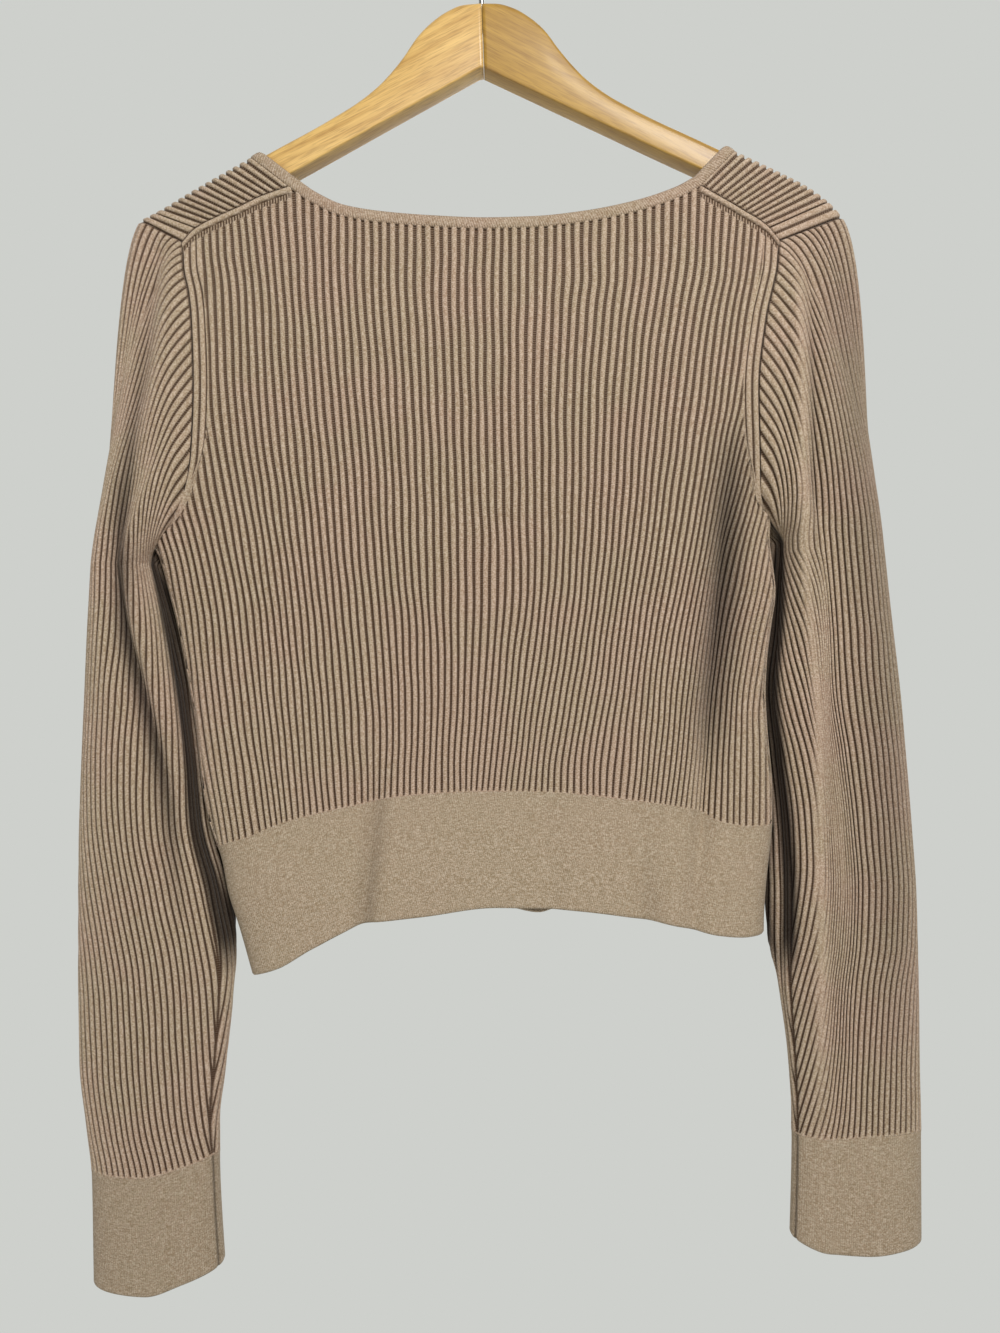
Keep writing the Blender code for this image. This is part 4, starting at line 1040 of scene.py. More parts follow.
@dataclass
class Arm:
    """One sleeve and its cuff: level rings, and a cap that runs up to the armhole seam."""

    torso: Torso
    knit: RibKnitting
    band: SmoothBand
    side: Side
    cleft: Cleft = Cleft()
    wall: float = 2.0
    flatness: float = 2.3
    fold_ease: float = 2.0
    samples: int = 200
    lean: float = 20.0
    round_pull: float = 16.0
    underarm_ease: float = 4.0
    cuff_rows: int = 18
    cap_ribs: int = 60
    more_ribs: dict = fixed({Side.LEFT: 0, Side.RIGHT: 6})
    crowded: tuple = (0.8, 1.8)
    sleeve_rows: int = 78
    cap_rows: int = 44
    hole_rows: int = 44
    over_shoulder: tuple = (90, 72, 54, 36, 18, 0)
    strip_rows: tuple = (0.25, 0.5, 0.75, 1.0)
    behind_ease: float = 2.2
    cuff_columns: int = 200
    cuff_edge_rows: tuple = (0, 0.01, 0.025, 0.045)
    cuff_inner_rows: tuple = (0.07, 0.97)
    first_rows: tuple = (0.0028, 0.0065)
    dip_faces: tuple = (0.0, 0.7)
    dip_fade: int = 6
    gather: float = 0.8
    from_seam: tuple = (0.1, 1.4)
    into_armhole: tuple = (-0.3, 1.5)
    cuff_seam: tuple = (1.3, 0.1)
    cuff_seam_sink: float = 0.8
    # Painted shade in the cuff's sunken seam line: how near the seam it starts and how dark it gets
    cuff_seam_shade: tuple = (1.3, 0.2)
    cuff_seam_dark: float = 0.75
    # How far each sleeve's far half laps in behind the gap beside the body, so that the gap shows cloth under
    # painted shade instead of the pale backdrop: partly the sleeve's own far layer, partly cloth put where
    # there is only shade
    lap: dict = fixed({
        Side.LEFT: dict(z=(-660, -610, -570, -520, -480, -410), by=(0, 9, 14, 17, 16, 10)),
        Side.RIGHT: dict(z=(-710, -655, -628, -590, -560, -480, -395), by=(0, 5, 12, 14, 13, 12, 11))})
    dips: dict = fixed({
        Side.LEFT: (
            Line(z=(-205, -240, -300, -340, -380, -400), x=(-188, -190.5, -194.4, -199.6, -202.7, -203.4),
                 amount=(1.5, 4.5, 5.5, 4, 1, 0), width=5.5),
            Line(z=(-215, -260, -320, -380, -420), x=(-178, -180, -184, -188, -190),
                 amount=(0, -2.2, -2.6, -1.5, 0), width=9.0)),
        Side.RIGHT: (
            Line(z=(-215, -250, -320, -380, -420), x=(196.5, 197, 197.5, 197.5, 199),
                 amount=(0, 3, 4.2, 3, 0), width=4.6),
            Line(z=(-225, -260, -330, -400, -460), x=(187, 188, 188.5, 189.5, 193),
                 amount=(0, -2.5, -3, -2.4, 0), width=5.0))})
    flats: dict = fixed({
        Side.LEFT: (),
        Side.RIGHT: (
            Line(z=(-225, -248, -329, -404, -450, -508, -578, -661, -735),
                 x=(189, 190, 190.4, 191.5, 194.8, 199.5, 202.5, 203.5, 203.5),
                 amount=(0, 0.5, 0.7, 0.75, 0.8, 0.85, 0.85, 0.8, 0.3), width=3.0),)})
    # Bands of painted shade on each sleeve's near face: along the left sleeve's fold, and on the right sleeve
    # by its fold and over its whole outer side, painted darker as if turned from the light
    painted_shades: dict = fixed({
        Side.LEFT: (
            Line(z=(-225, -285, -340, -381, -412, -441, -477, -515, -542, -572, -620),
                 x=(-191, -194.5, -200.5, -204.8, -204.5, -203, -194.8, -185.8, -181.2, -177.6, -173),
                 amount=(0, 0.28, 0.5, 0.75, 0.9, 0.92, 0.88, 0.84, 0.65, 0.4, 0), width=5.2),),
        Side.RIGHT: (
            Line(z=(-240, -300, -360, -420), x=(196, 196.5, 196.5, 198), amount=(0, 0.3, 0.3, 0), width=2.6),
            Line(z=(-215, -260, -330, -450, -600, -700, -765), x=(219, 220, 224, 236, 245, 250, 252),
                 amount=(0.12, 0.36, 0.4, 0.34, 0.3, 0.1, 0), width=18.0))})
    # Painted shade over each whole cuff, more on the left, where less light reaches
    cuff_shade: dict = fixed({Side.LEFT: 0.1, Side.RIGHT: 0.03})
    turn_in: dict = fixed({
        Side.LEFT: dict(z=(-800, -400), by=(0, 0)),
        Side.RIGHT: dict(
            z=(-745, -700, -660, -620, -580, -540, -490, -450, -420, -396),
            by=(0, 2.2, 4.4, 6.6, 8.0, 8.4, 7.6, 5.4, 2.8, 0))})
    turn_place: tuple = (0.57, 0.80)
    turn_samples: int = 401
    ribs: dict = fixed(dict(
        z=(-765, -720, -680, -640, -600, -480, -440, -400), count=(46.5, 50, 53, 55, 55.5, 55, 54, 53)))
    rib_ends: dict = fixed(dict(share=(0, 0.30, 0.5, 0.8, 0.9, 1), place=(0, 0.185, 0.345, 0.66, 0.80, 1)))
    arrival: dict = fixed(dict(
        place=(0, 0.06, 0.11, 0.16, 0.22, 0.3, 0.5, 0.7, 0.9, 1),
        sideways=(45, 50, 66, 70, 62, 55, 44, 32, 18, 10),
        upwards=(62, 52, 22, 16, 26, 38, 50, 52, 34, 20)))
    rings: dict = fixed({
        Side.LEFT: dict(
            z=(-830, -766, -740, -700, -650, -600, -560, -520, -480, -440, -405),
            outer=(-228.4, -229.6, -232.5, -237, -237.4, -237, -236, -234, -231.7, -229, -226),
            inner=(-150, -153.6, -154, -149.7, -145.5, -154, -165, -169.5, -175.8, -184, -194),
            near=(12.5, 12.5, 12.5, 12.5, 14, 17, 20, 23, 25, 27, 28),
            far=(12, 12, 12, 12, 13, 16, 18, 21, 24, 26, 27),
            seam=(-18, -18, -24, -28, -30, -28, -22, -16, -9, -4, 0),
            fold_x=(-178, -178, -175, -173, -172, -174, -177.5, -183, -192, -202, -208),
            fold_depth=(0, 0.4, 0.8, 1.2, 2, 3, 4, 6, 8, 9.5, 9.5),
            fold_inner=(9, 9, 9, 8, 7, 6, 5, 4.5, 4, 4, 4),
            fold_outer=(9, 9, 9, 9, 9, 9, 9, 10, 10, 9, 8)),
        Side.RIGHT: dict(
            z=(-830, -741, -700, -650, -600, -560, -520, -480, -440, -392),
            outer=(267, 266.5, 265.5, 264.7, 263, 260, 256.5, 252.5, 247.5, 242),
            inner=(188, 190, 188.3, 185, 185.5, 184, 180.5, 177.5, 181, 184),
            near=(12.5, 12.5, 13, 15, 17, 19, 22, 25, 26, 26),
            far=(12, 12, 12, 14, 16, 18, 21, 24, 25, 25),
            seam=(-16, -16, -17, -18, -18, -16, -12, -6, -3, 0),
            fold_x=(214, 214, 212, 211, 210, 209, 208, 207, 206, 205),
            fold_depth=(1, 2, 3, 4, 5, 5.5, 6, 6, 6, 6),
            fold_inner=(7, 7, 6, 6, 6, 6, 6, 6, 6, 6),
            fold_outer=(16, 16, 16, 16, 16, 16, 15, 15, 14, 13))})
    cuff: dict = fixed({
        Side.LEFT: dict(
            place=ROUND_THE_CUFF, seam=(-755, -761, -765.5, -765, -763, -761, -760, -757, -755),
            end=(-822, -829, -835.5, -834.5, -832, -826, -820, -818, -822)),
        Side.RIGHT: dict(
            place=ROUND_THE_CUFF, seam=(-743, -744, -741.5, -740.5, -741, -741, -741, -742, -743),
            end=(-806, -811.5, -812, -810, -806.5, -803, -801, -802, -806))})

    def __post_init__(self) -> None:
        """Work out the whole arm's middle surface once."""
        self._ring = curves(self.rings[self.side], "z")
        self._cuff = curves(self.cuff[self.side], "place")
        self._lap = curves(self.lap[self.side], "z")["by"]
        self._turn_in = curves(self.turn_in[self.side], "z")["by"]
        self._arrival = curves(self.arrival, "place")
        self._surface()

    def _armhole(self) -> Array:
        """Return the armhole seam from the underarm up the back, over the arm, and down the front.

        Returns:
            Points along the seam.
        """
        torso, side = self.torso, self.side
        strip, _ = torso.shoulders.path(side, np.zeros(1), self.over_shoulder, self.strip_rows)
        strip = strip[:, 0]
        loops = {}
        for face, top in ((Face.BACK, strip[-1]), (Face.FRONT, strip[0])):
            low = torso.underarm[side][1]
            z = low + (top[2] - low) * np.linspace(0, 1, self.hole_rows + 1)
            x = [float(torso.edge_x(side, face, level + 1e-6)) for level in z]
            loops[face] = np.stack([x, face * torso.rise_curves["edge"](z - low), z], axis=1)
            loops[face][-1] = top
        return np.concatenate([loops[Face.BACK], strip[-2:0:-1], loops[Face.FRONT][::-1]])

    def _ring_at(self, z: float, place: float) -> Array:
        """Return the point at a place round the level ring at height z.

        Args:
            z: The height.
            place: The place, from -1 to 1 round from the seam.

        Returns:
            The point.
        """
        read = {name: float(curve(z)) for name, curve in self._ring.items()}
        middle = (read["outer"] + read["inner"]) / 2
        half = abs(read["outer"] - read["inner"]) / 2 - self.wall / 2
        turn = math.radians(read["seam"]) - np.linspace(0, 2 * math.pi, self.samples)
        power = 2 / self.flatness
        cosine, sine = np.cos(turn), np.sin(turn)
        x = middle - self.side * half * np.sign(cosine) * np.abs(cosine) ** power
        y = np.sign(sine) * np.abs(sine) ** power
        towards_body = (x - read["fold_x"]) * -self.side > 0
        width = np.where(towards_body, read["fold_inner"], read["fold_outer"])
        dent = read["fold_depth"] * np.exp(-((x - read["fold_x"]) / width) ** 2)
        behind = np.minimum(1, self.behind_ease * np.maximum(y, 0)) * (1 + cosine) / 2
        x = x - self.side * float(self._lap(z)) * behind
        y = np.where(y < 0, y * read["near"] + dent * np.minimum(1, -y * self.fold_ease), y * read["far"])
        ring = np.stack([x, y], axis=1)
        reach = reach_along(ring)
        at = (place + 1) / 2 * reach[-1]
        return np.array([*(np.interp(at, reach, line) for line in ring.T), z])

    def _surface(self) -> None:
        """Lay the rows from the cuff's edge to the armhole seam, and find their directions."""
        seam = self._armhole()
        reach = reach_along(seam)
        self.places = 2 * reach / reach[-1] - 1
        places = self.places
        ends, seams = self._cuff["end"](places), self._cuff["seam"](places)
        top = self.rings[self.side]["z"][-1]
        inner = np.linspace(*self.cuff_inner_rows, self.cuff_rows - len(self.cuff_edge_rows) - 1)
        cuff_shares = np.concatenate([self.cuff_edge_rows, inner, [1.0]])
        levels = [ends + share * (seams - ends) for share in cuff_shares]
        shares = np.concatenate([self.first_rows, np.linspace(0, 1, self.sleeve_rows - 1)[1:]])
        levels += [seams + share * (top - seams) for share in shares]
        rows = [[self._ring_at(z, place) for z, place in zip(level, places)] for level in levels]
        ring = np.array(rows[-1])
        for share in np.linspace(0, 1, self.cap_rows + 1)[1:]:
            rows.append(self._cap(ring, seam, share))
        points = np.array(rows)
        near = ease(*self.dip_faces, -self._directions(points)[..., 1])
        fade = 1 - np.clip((np.arange(len(rows)) - len(rows) + self.dip_fade + 1) / self.dip_fade, 0, 1)
        for dip in self.dips[self.side]:
            points[..., 1] += dip.at(points[..., 0], points[..., 2]) * near * fade[:, None]
        self.points, self.normals = points, self._calm(self._directions(points))
        self.seam_row = len(cuff_shares) - 1

    @staticmethod
    def _directions(points: Array) -> Array:
        """Return the outward directions of rows that run round the sleeve.

        Args:
            points: Rows by places.

        Returns:
            A unit vector for each point.
        """
        around = np.roll(points[:, :-1], -1, axis=1) - np.roll(points[:, :-1], 1, axis=1)
        normals = unit(np.cross(around, np.gradient(points[:, :-1], axis=0)))
        outwards = np.sum(normals * (points[:, :-1] - points[:, :-1].mean(axis=1, keepdims=True)))
        return np.concatenate([normals, normals[:, :1]], axis=1) * np.sign(outwards)

    @staticmethod
    def _calm(normals: Array) -> Array:
        """Even out directions a little, so that crowded rows at the underarm don't flip.

        Args:
            normals: Rows of directions.

        Returns:
            The calmer directions.
        """
        for _ in range(CALMINGS):
            normals = normals.copy()
            normals[1:-1] = unit(normals[:-2] + 2 * normals[1:-1] + normals[2:])
        return normals

    def _cap(self, ring: Array, seam: Array, share: float) -> Array:
        """Return a row of the cap on its way from the ring to the armhole seam.

        Args:
            ring: The sleeve's last level ring.
            seam: The armhole seam.
            share: How far the row has come, from 0 to 1.

        Returns:
            The row's points.
        """
        near_top = 1 - np.abs(self.places)
        zero = np.zeros_like(near_top)
        rise = np.stack([-self.side * self.lean * near_top, zero, (seam - ring)[:, 2]], axis=1)
        sideways = self._arrival["sideways"](1 - near_top)
        face = np.where(self.places < 0, -1, 1)
        round_in = -face * self.round_pull * (1 - near_top) * np.minimum(1, self.underarm_ease * near_top)
        arrive = np.stack([-self.side * sideways, round_in, self._arrival["upwards"](1 - near_top)], axis=1)
        t = share
        return (ring * (1 + 2 * t) * (1 - t) ** 2 + rise * t * (1 - t) ** 2
                + seam * t * t * (3 - 2 * t) - arrive * t * t * (1 - t))

    def _columns(self, places: Array, rows: slice) -> tuple[Array, Array]:
        """Return points and directions of some rows at places, rows by columns."""
        return (read_rows(places, self.places, self.points[rows]),
                unit(read_rows(places, self.places, self.normals[rows])))

    def sleeve(self) -> Sheet:
        """Knit the sleeve: ribs at even places round it, cut off at its seam as it narrows.

        Returns:
            The sleeve's sheet.
        """
        rows = slice(self.seam_row, None)
        level = self.points[rows][:, len(self.places) // 2, 2]
        count = curves(self.ribs, "z")["count"](level)
        half = self.cap_ribs // 2
        first = -half - self.more_ribs[self.side]
        numbers = self.knit.numbers(first, half)
        strayed = numbers[None, :] + self.knit.wander(numbers[None, :], level[:, None])
        places = np.clip(2 * strayed / count[:, None], -1, 1)
        known = np.linspace(0, 1, self.turn_samples)
        turned = self._turn_in(level)[:, None] * ease(*self.turn_place, known) + known * count[:, None] / 2
        near_half = np.stack([-np.interp(-row, at, known) for row, at in zip(strayed, turned)])
        places = np.where(strayed < 0, near_half, places)
        ends = np.sign(numbers) * smooth_through(self.rib_ends["share"], self.rib_ends["place"])(
            np.minimum(np.abs(numbers) / half, 1))
        gathered = self.sleeve_rows + self.gather * self.cap_rows
        way = ease(self.sleeve_rows, gathered, np.arange(len(level)))[:, None]
        places = places + (ends - places) * way
        points, normals = self._columns(places, rows)
        half_girth = reach_along(self.points[rows], axis=1)[:, -1:] / 2
        to_seam = (1 - np.abs(places)) * half_girth
        run = reach_along(points)
        cap = np.arange(len(level))[:, None] >= self.sleeve_rows
        pitch = np.gradient(places, numbers, axis=1) * half_girth
        ribs = 1 - (1 - self.knit.relief(first, half)[None, :]) * np.where(cap, 1, ease(*self.crowded, pitch))
        relief = ribs * np.where(cap, 1, ease(*self.from_seam, to_seam))
        relief = (1 - (1 - relief) * ease(*OUT_OF_SEAM, run)) * ease(*self.into_armhole, run[-1:] - run)
        near = normals[..., 1] < NEAR_SIDE
        for flat in self.flats[self.side]:
            relief = 1 - (1 - relief) * (1 - flat.at(points[..., 0], points[..., 2]) * near)
        uv = np.stack([np.broadcast_to(numbers, relief.shape), run], axis=-1)
        return Sheet(self.knit.raise_up(points, normals, relief), normals, uv, relief,
                     painted_shade=self._painted_shade(points, normals))

    def _painted_shade(self, points: Array, normals: Array) -> Array:
        """Return the painted shade on places of the sleeve: shade painted into its folds and where it lies
        against the body.

        Args:
            points: The places.
            normals: Their directions.

        Returns:
            The painted shade, from 0 to 1.
        """
        x, y, z = np.moveaxis(points, -1, 0)
        # Painted shade: in the gap beside the body, and in bands on the near face
        beside = self.cleft.at(self.torso.underarm[self.side][1], -self.side * normals[..., 0], y, z)
        near = normals[..., 1] < NEAR_SIDE
        return np.clip(beside + sum(shade.at(x, z) for shade in self.painted_shades[self.side]) * near, 0, 1)

    def cuff_sheet(self) -> Sheet:
        """Lay the smooth cuff.

        Returns:
            The cuff's sheet.
        """
        rows = slice(0, self.seam_row + 1)
        places = np.tile(np.linspace(-1, 1, self.cuff_columns + 1), (self.seam_row + 1, 1))
        points, normals = self._columns(places, rows)
        run, across = reach_along(points), reach_along(points, axis=1)
        to_seam = (1 - np.abs(places)) * across[:, -1:] / 2
        rise = self.band.rise(run) - self.cuff_seam_sink * ease(*self.cuff_seam, to_seam)
        # Painted shade along the cuff's seam, and over the whole cuff
        dark = self.cuff_seam_dark * ease(*self.cuff_seam_shade, to_seam)
        return Sheet(points + normals * rise[..., None], normals, np.stack([across, run], axis=-1),
                     np.ones(run.shape), painted_shade=np.maximum(self.cuff_shade[self.side], dark))


@dataclass
class Neckband:
    """The narrow knitted trim round the neck."""

    torso: Torso
    stations: int = 520
    back_stations: int = 160
    front_stations: int = 240
    flats: int = 10
    smoothings: tuple = (3, 4)
    middle: tuple = (2.8, 0.3)
    profile: tuple = ((-0.7, 0.5), (-0.5, 1.3), (0.4, 1.75), (2.0, 1.9), (4.0, 1.75), (5.4, 1.3), (6.2, 0.3),
                      (5.6, -0.7), (4.0, -0.95), (1.0, -0.95), (-0.4, -0.7), (-0.7, 0.5))

    def _loop(self) -> tuple[Array, Array]:
        """Return the neck edge: along the back, over the right shoulder, the front, and the left one.

        Returns:
            Points, and the directions that the cloth faces there.
        """
        torso, shoulders = self.torso, self.torso.shoulders
        flats = np.linspace(1 / self.flats, 1, self.flats)
        x = np.linspace(torso.back_neck["x"][0], torso.back_neck["x"][-1], self.back_stations)
        back = np.stack([x, np.full_like(x, -shoulders.half_depth), torso.top(Face.BACK, x)], axis=1)
        facing = np.broadcast_to((0, -1.0, 0), back.shape)
        left, right = ([part[:, 0] for part in shoulders.path(side, np.ones(1), TURNS, flats)]
                       for side in Side)
        share = 0.5 + 0.5 * np.sin((np.linspace(1, 0, self.front_stations) - 0.5) * math.pi)
        x = left[0][0, 0] + share * (right[0][0, 0] - left[0][0, 0])
        z = torso.top(Face.FRONT, np.clip(x, left[0][0, 0] + 1e-3, right[0][0, 0] - 1e-3))
        section_x = torso.sections[Face.FRONT][..., 0]
        reach = np.stack([np.interp(x, row, run) for row, run in zip(section_x, torso.reach[Face.FRONT])])
        points, normals = torso.at_reach(Face.FRONT, reach)
        front = torso.level(points, z[None, :])[0]
        front_facing = unit(torso.level(normals, z[None, :])[0])
        points = np.concatenate([back[:-1], right[0][:0:-1], front[1:-1], left[0][:-1]])
        normals = np.concatenate([facing[:-1], right[1][:0:-1], front_facing[1:-1], left[1][:-1]])
        return points, normals

    def sheet(self) -> Sheet:
        """Run the trim's profile round the neck.

        Returns:
            The trim's sheet.
        """
        points, normals = self._loop()
        closed = np.concatenate([points, points[:1]])
        ways = np.concatenate([normals, normals[:1]])
        reach = reach_along(closed)
        at = np.linspace(0, reach[-1], self.stations + 1)
        points, normals = (np.stack([np.interp(at, reach, line) for line in known.T], axis=1)
                           for known in (closed, ways))
        normals = unit(normals)
        normals = self._calm(normals[:-1], self.smoothings[0])
        run = np.roll(points[:-1], -2, axis=0) - np.roll(points[:-1], 2, axis=0)
        into = unit(np.cross(run, normals))
        into = self._calm(into * np.sign(np.sum(into[:, 2])), self.smoothings[1])
        normals, into = (np.concatenate([ways, ways[:1]]) for ways in (normals, into))
        rows = np.stack([points + into * across + normals * out for across, out in self.profile], axis=1)
        round_it = reach_along(np.array(self.profile))
        across, out = self.middle
        facing = rows - (points + into * across + normals * out)[:, None]
        uv = np.stack(np.broadcast_arrays(round_it, at[:, None]), axis=-1)
        return Sheet(rows, facing, uv, np.ones(rows.shape[:2]))

    @staticmethod
    def _calm(ways: Array, times: int) -> Array:
        """Even out directions round the neck.

        Args:
            ways: Directions round the neck.
            times: How many times they are evened out.

        Returns:
            The calmer directions.
        """
        for _ in range(times):
            ways = unit(np.roll(ways, 1, axis=0) + ways + np.roll(ways, -1, axis=0))
        return ways


# -------- hanger

# Distances from the middle at which the arms' top edges are known
ARM_STATIONS = (1, 10, 20, 30, 38, 46, 54, 62, 75, 90, 105, 120, 142, 160, 180, 190)


@dataclass
class Hanger:
    """The wooden arms and the steel hook."""

    tilt: float = math.radians(2.0)
    thickness: float = 14.0
    top_round: float = 4.0
    low_round: float = 1.2
    mitre: float = 1.2
    gap: float = 0.3
    apex: float = -70.0
    slope: float = math.radians(27.5)
    wire: float = 3.6
    crook: float = 18.0
    sink: float = 15.0
    stations: int = 90
    straight: float = 190.0
    hook_stations: int = 160
    hook_sides: int = 24
    shank_top: float = -58.0
    bend: tuple = ((0.2, -50.0), (0.52, -42.0))
    crook_turn: tuple = (-35, 196, 5)
    tip: tuple = (0.97, 0.85, 0.6, 0.25)
    low: dict = fixed(dict(x=(1.2, 60, 120, 180, 190), z=(-109.6, -139.8, -170.5, -199.5, -203.5)))
    end: tuple = (194.5, -192.5, -201.0, 1.5)
    top: dict = fixed({
        Side.LEFT: dict(
            x=ARM_STATIONS,
            z=(-70, -70.6, -74.4, -81.2, -89, -100, -109.4, -117.2, -126.8, -135.4, -143.3, -150.7, -161.8,
               -171.2, -182, -187.8)),
        Side.RIGHT: dict(
            x=ARM_STATIONS,
            z=(-70, -70.4, -73.4, -79.7, -87.2, -98.6, -108.8, -117.4, -127.6, -136.6, -144.7, -152.2, -163.4,
               -172.8, -183.6, -189.4))})

    def _turned(self, points: Array) -> Array:
        """Tilt the hanger's level frame as it hangs.

        Args:
            points: Points as if it hung level.

        Returns:
            The points as it hangs.
        """
        cosine, sine = math.cos(-self.tilt), math.sin(-self.tilt)
        x, y, z = np.moveaxis(points, -1, 0)
        return np.stack([x * cosine + z * sine, y, -x * sine + z * cosine], axis=-1)

    def _section(self, x: float, top: float, low: float, half: float) -> list:
        """Return the points round one upright section of an arm.

        Args:
            x: Where the section lies.
            top: The height of its top edge.
            low: The height of its lower edge.
            half: Half its thickness.

        Returns:
            The points, the first one again at the end.
        """
        def corners(step: int, face: float, wide: float, edge: float, tall: float) -> list:
            """Round one corner from its face to its edge, then the corner across from it.

            Args:
                step: Degrees between points.
                face: The y of the face.
                wide: The radius across.
                edge: The z of the edge.
                tall: The radius in height.

            Returns:
                The points of both corners.
            """
            turned = [math.radians(degrees) for degrees in range(0, 91, step)]
            one = [(x, face - wide * (1 - math.cos(a)), edge - tall * (1 - math.sin(a))) for a in turned]
            return one + [(x, -y, z) for _, y, z in reversed(one)]

        points = corners(15, half, self.top_round, top, self.top_round / math.cos(self.slope))
        points += corners(30, -half, -self.low_round, low, -self.low_round)
        return points + points[:1]

    def arm(self, side: Side) -> Sheet:
        """Shape one arm from the mitre to its end.

        Args:
            side: Which arm.

        Returns:
            The arm's form.
        """
        top, low = self.top[side], smooth_through(self.low["x"], self.low["z"])
        top_at = smooth_through(top["x"], top["z"])
        half = self.thickness / 2
        first = self.mitre + side * self.gap / 2
        along = first + (side * self.straight - first) * np.linspace(0, 1, self.stations)
        rows = [self._section(x, float(top_at(abs(x))), float(low(abs(x))), half) for x in along]
        end, end_top, end_low, taper = self.end
        rows.append(self._section(side * end, end_top, end_low, half - taper))
        points = self._turned(np.array(rows))
        middle = points.mean(axis=1, keepdims=True)
        relief = np.ones(points.shape[:2])
        uv = np.stack([relief * reach_along(points[0]), relief * self.straight], axis=-1)
        return Sheet(points, points - middle, uv, relief)

    def hook(self) -> Sheet:
        """Bend the hook: a shank in the wood, a bend and a round crook over the origin.

        Returns:
            The hook's form.
        """
        radius = self.crook + self.wire / 2
        turned = np.radians(np.arange(*self.crook_turn))
        route = [(self.mitre, z) for z in (self.apex - self.sink + self.gap, self.apex, self.shank_top)]
        route += [(radius * share, z) for share, z in self.bend]
        route += [(radius * math.cos(a), radius * math.sin(a) - self.crook) for a in turned]
        route = np.array(route)
        reach = reach_along(route)
        at = np.linspace(0, reach[-1], self.hook_stations)
        x, z = (smooth_through(reach, values)(at) for values in route.T)
        level = np.zeros(self.hook_stations)
        line = np.stack([x, level, z], axis=1)
        way = unit(np.gradient(line, axis=0))
        side = np.stack([-way[:, 2], level, way[:, 0]], axis=1)
        angle = np.linspace(0, 2 * math.pi, self.hook_sides + 1)
        size = np.full(self.hook_stations, self.wire / 2)
        size[-len(self.tip):] *= self.tip
        ring = side[:, None] * np.cos(angle)[:, None] + np.array([0, 1.0, 0]) * np.sin(angle)[:, None]
        points = self._turned(line[:, None] + ring * size[:, None, None])
        uv = np.stack(np.broadcast_arrays(angle, at[:, None]), axis=-1)
        return Sheet(points, points - self._turned(line)[:, None], uv, np.ones(points.shape[:2]))


# -------- shader maths

class Value:
    """One output socket, with arithmetic that adds Math nodes to its tree."""

    def __init__(self, shader: "Shader", socket: bpy.types.NodeSocket) -> None:
        """Keep the socket and the tree it is in."""
        self.shader, self.socket = shader, socket

    def _math(self, operation: str, *terms: "Value | float") -> "Value":
        """Add one Math node, on this value alone unless terms are given."""
        return self.shader.node("ShaderNodeMath", {"operation": operation}, *(terms or (self,)))

    def __add__(self, other: "Value | float") -> "Value":
        """Add."""
        return self._math("ADD", self, other)

    def __radd__(self, other: float) -> "Value":
        """Add to a number."""
        return self._math("ADD", other, self)

    def __sub__(self, other: "Value | float") -> "Value":
        """Subtract."""
        return self._math("SUBTRACT", self, other)

    def __rsub__(self, other: float) -> "Value":
        """Subtract from a number."""
        return self._math("SUBTRACT", other, self)

    def __mul__(self, other: "Value | float") -> "Value":
        """Multiply."""
        return self._math("MULTIPLY", self, other)

    def __rmul__(self, other: float) -> "Value":
        """Multiply a number."""
        return self._math("MULTIPLY", other, self)

    def wave(self, pitch: float) -> "Value":
        """Make a wave from 0 to 1 that repeats at a pitch."""
        return (self * (2 * math.pi / pitch))._math("SINE") * 0.5 + 0.5


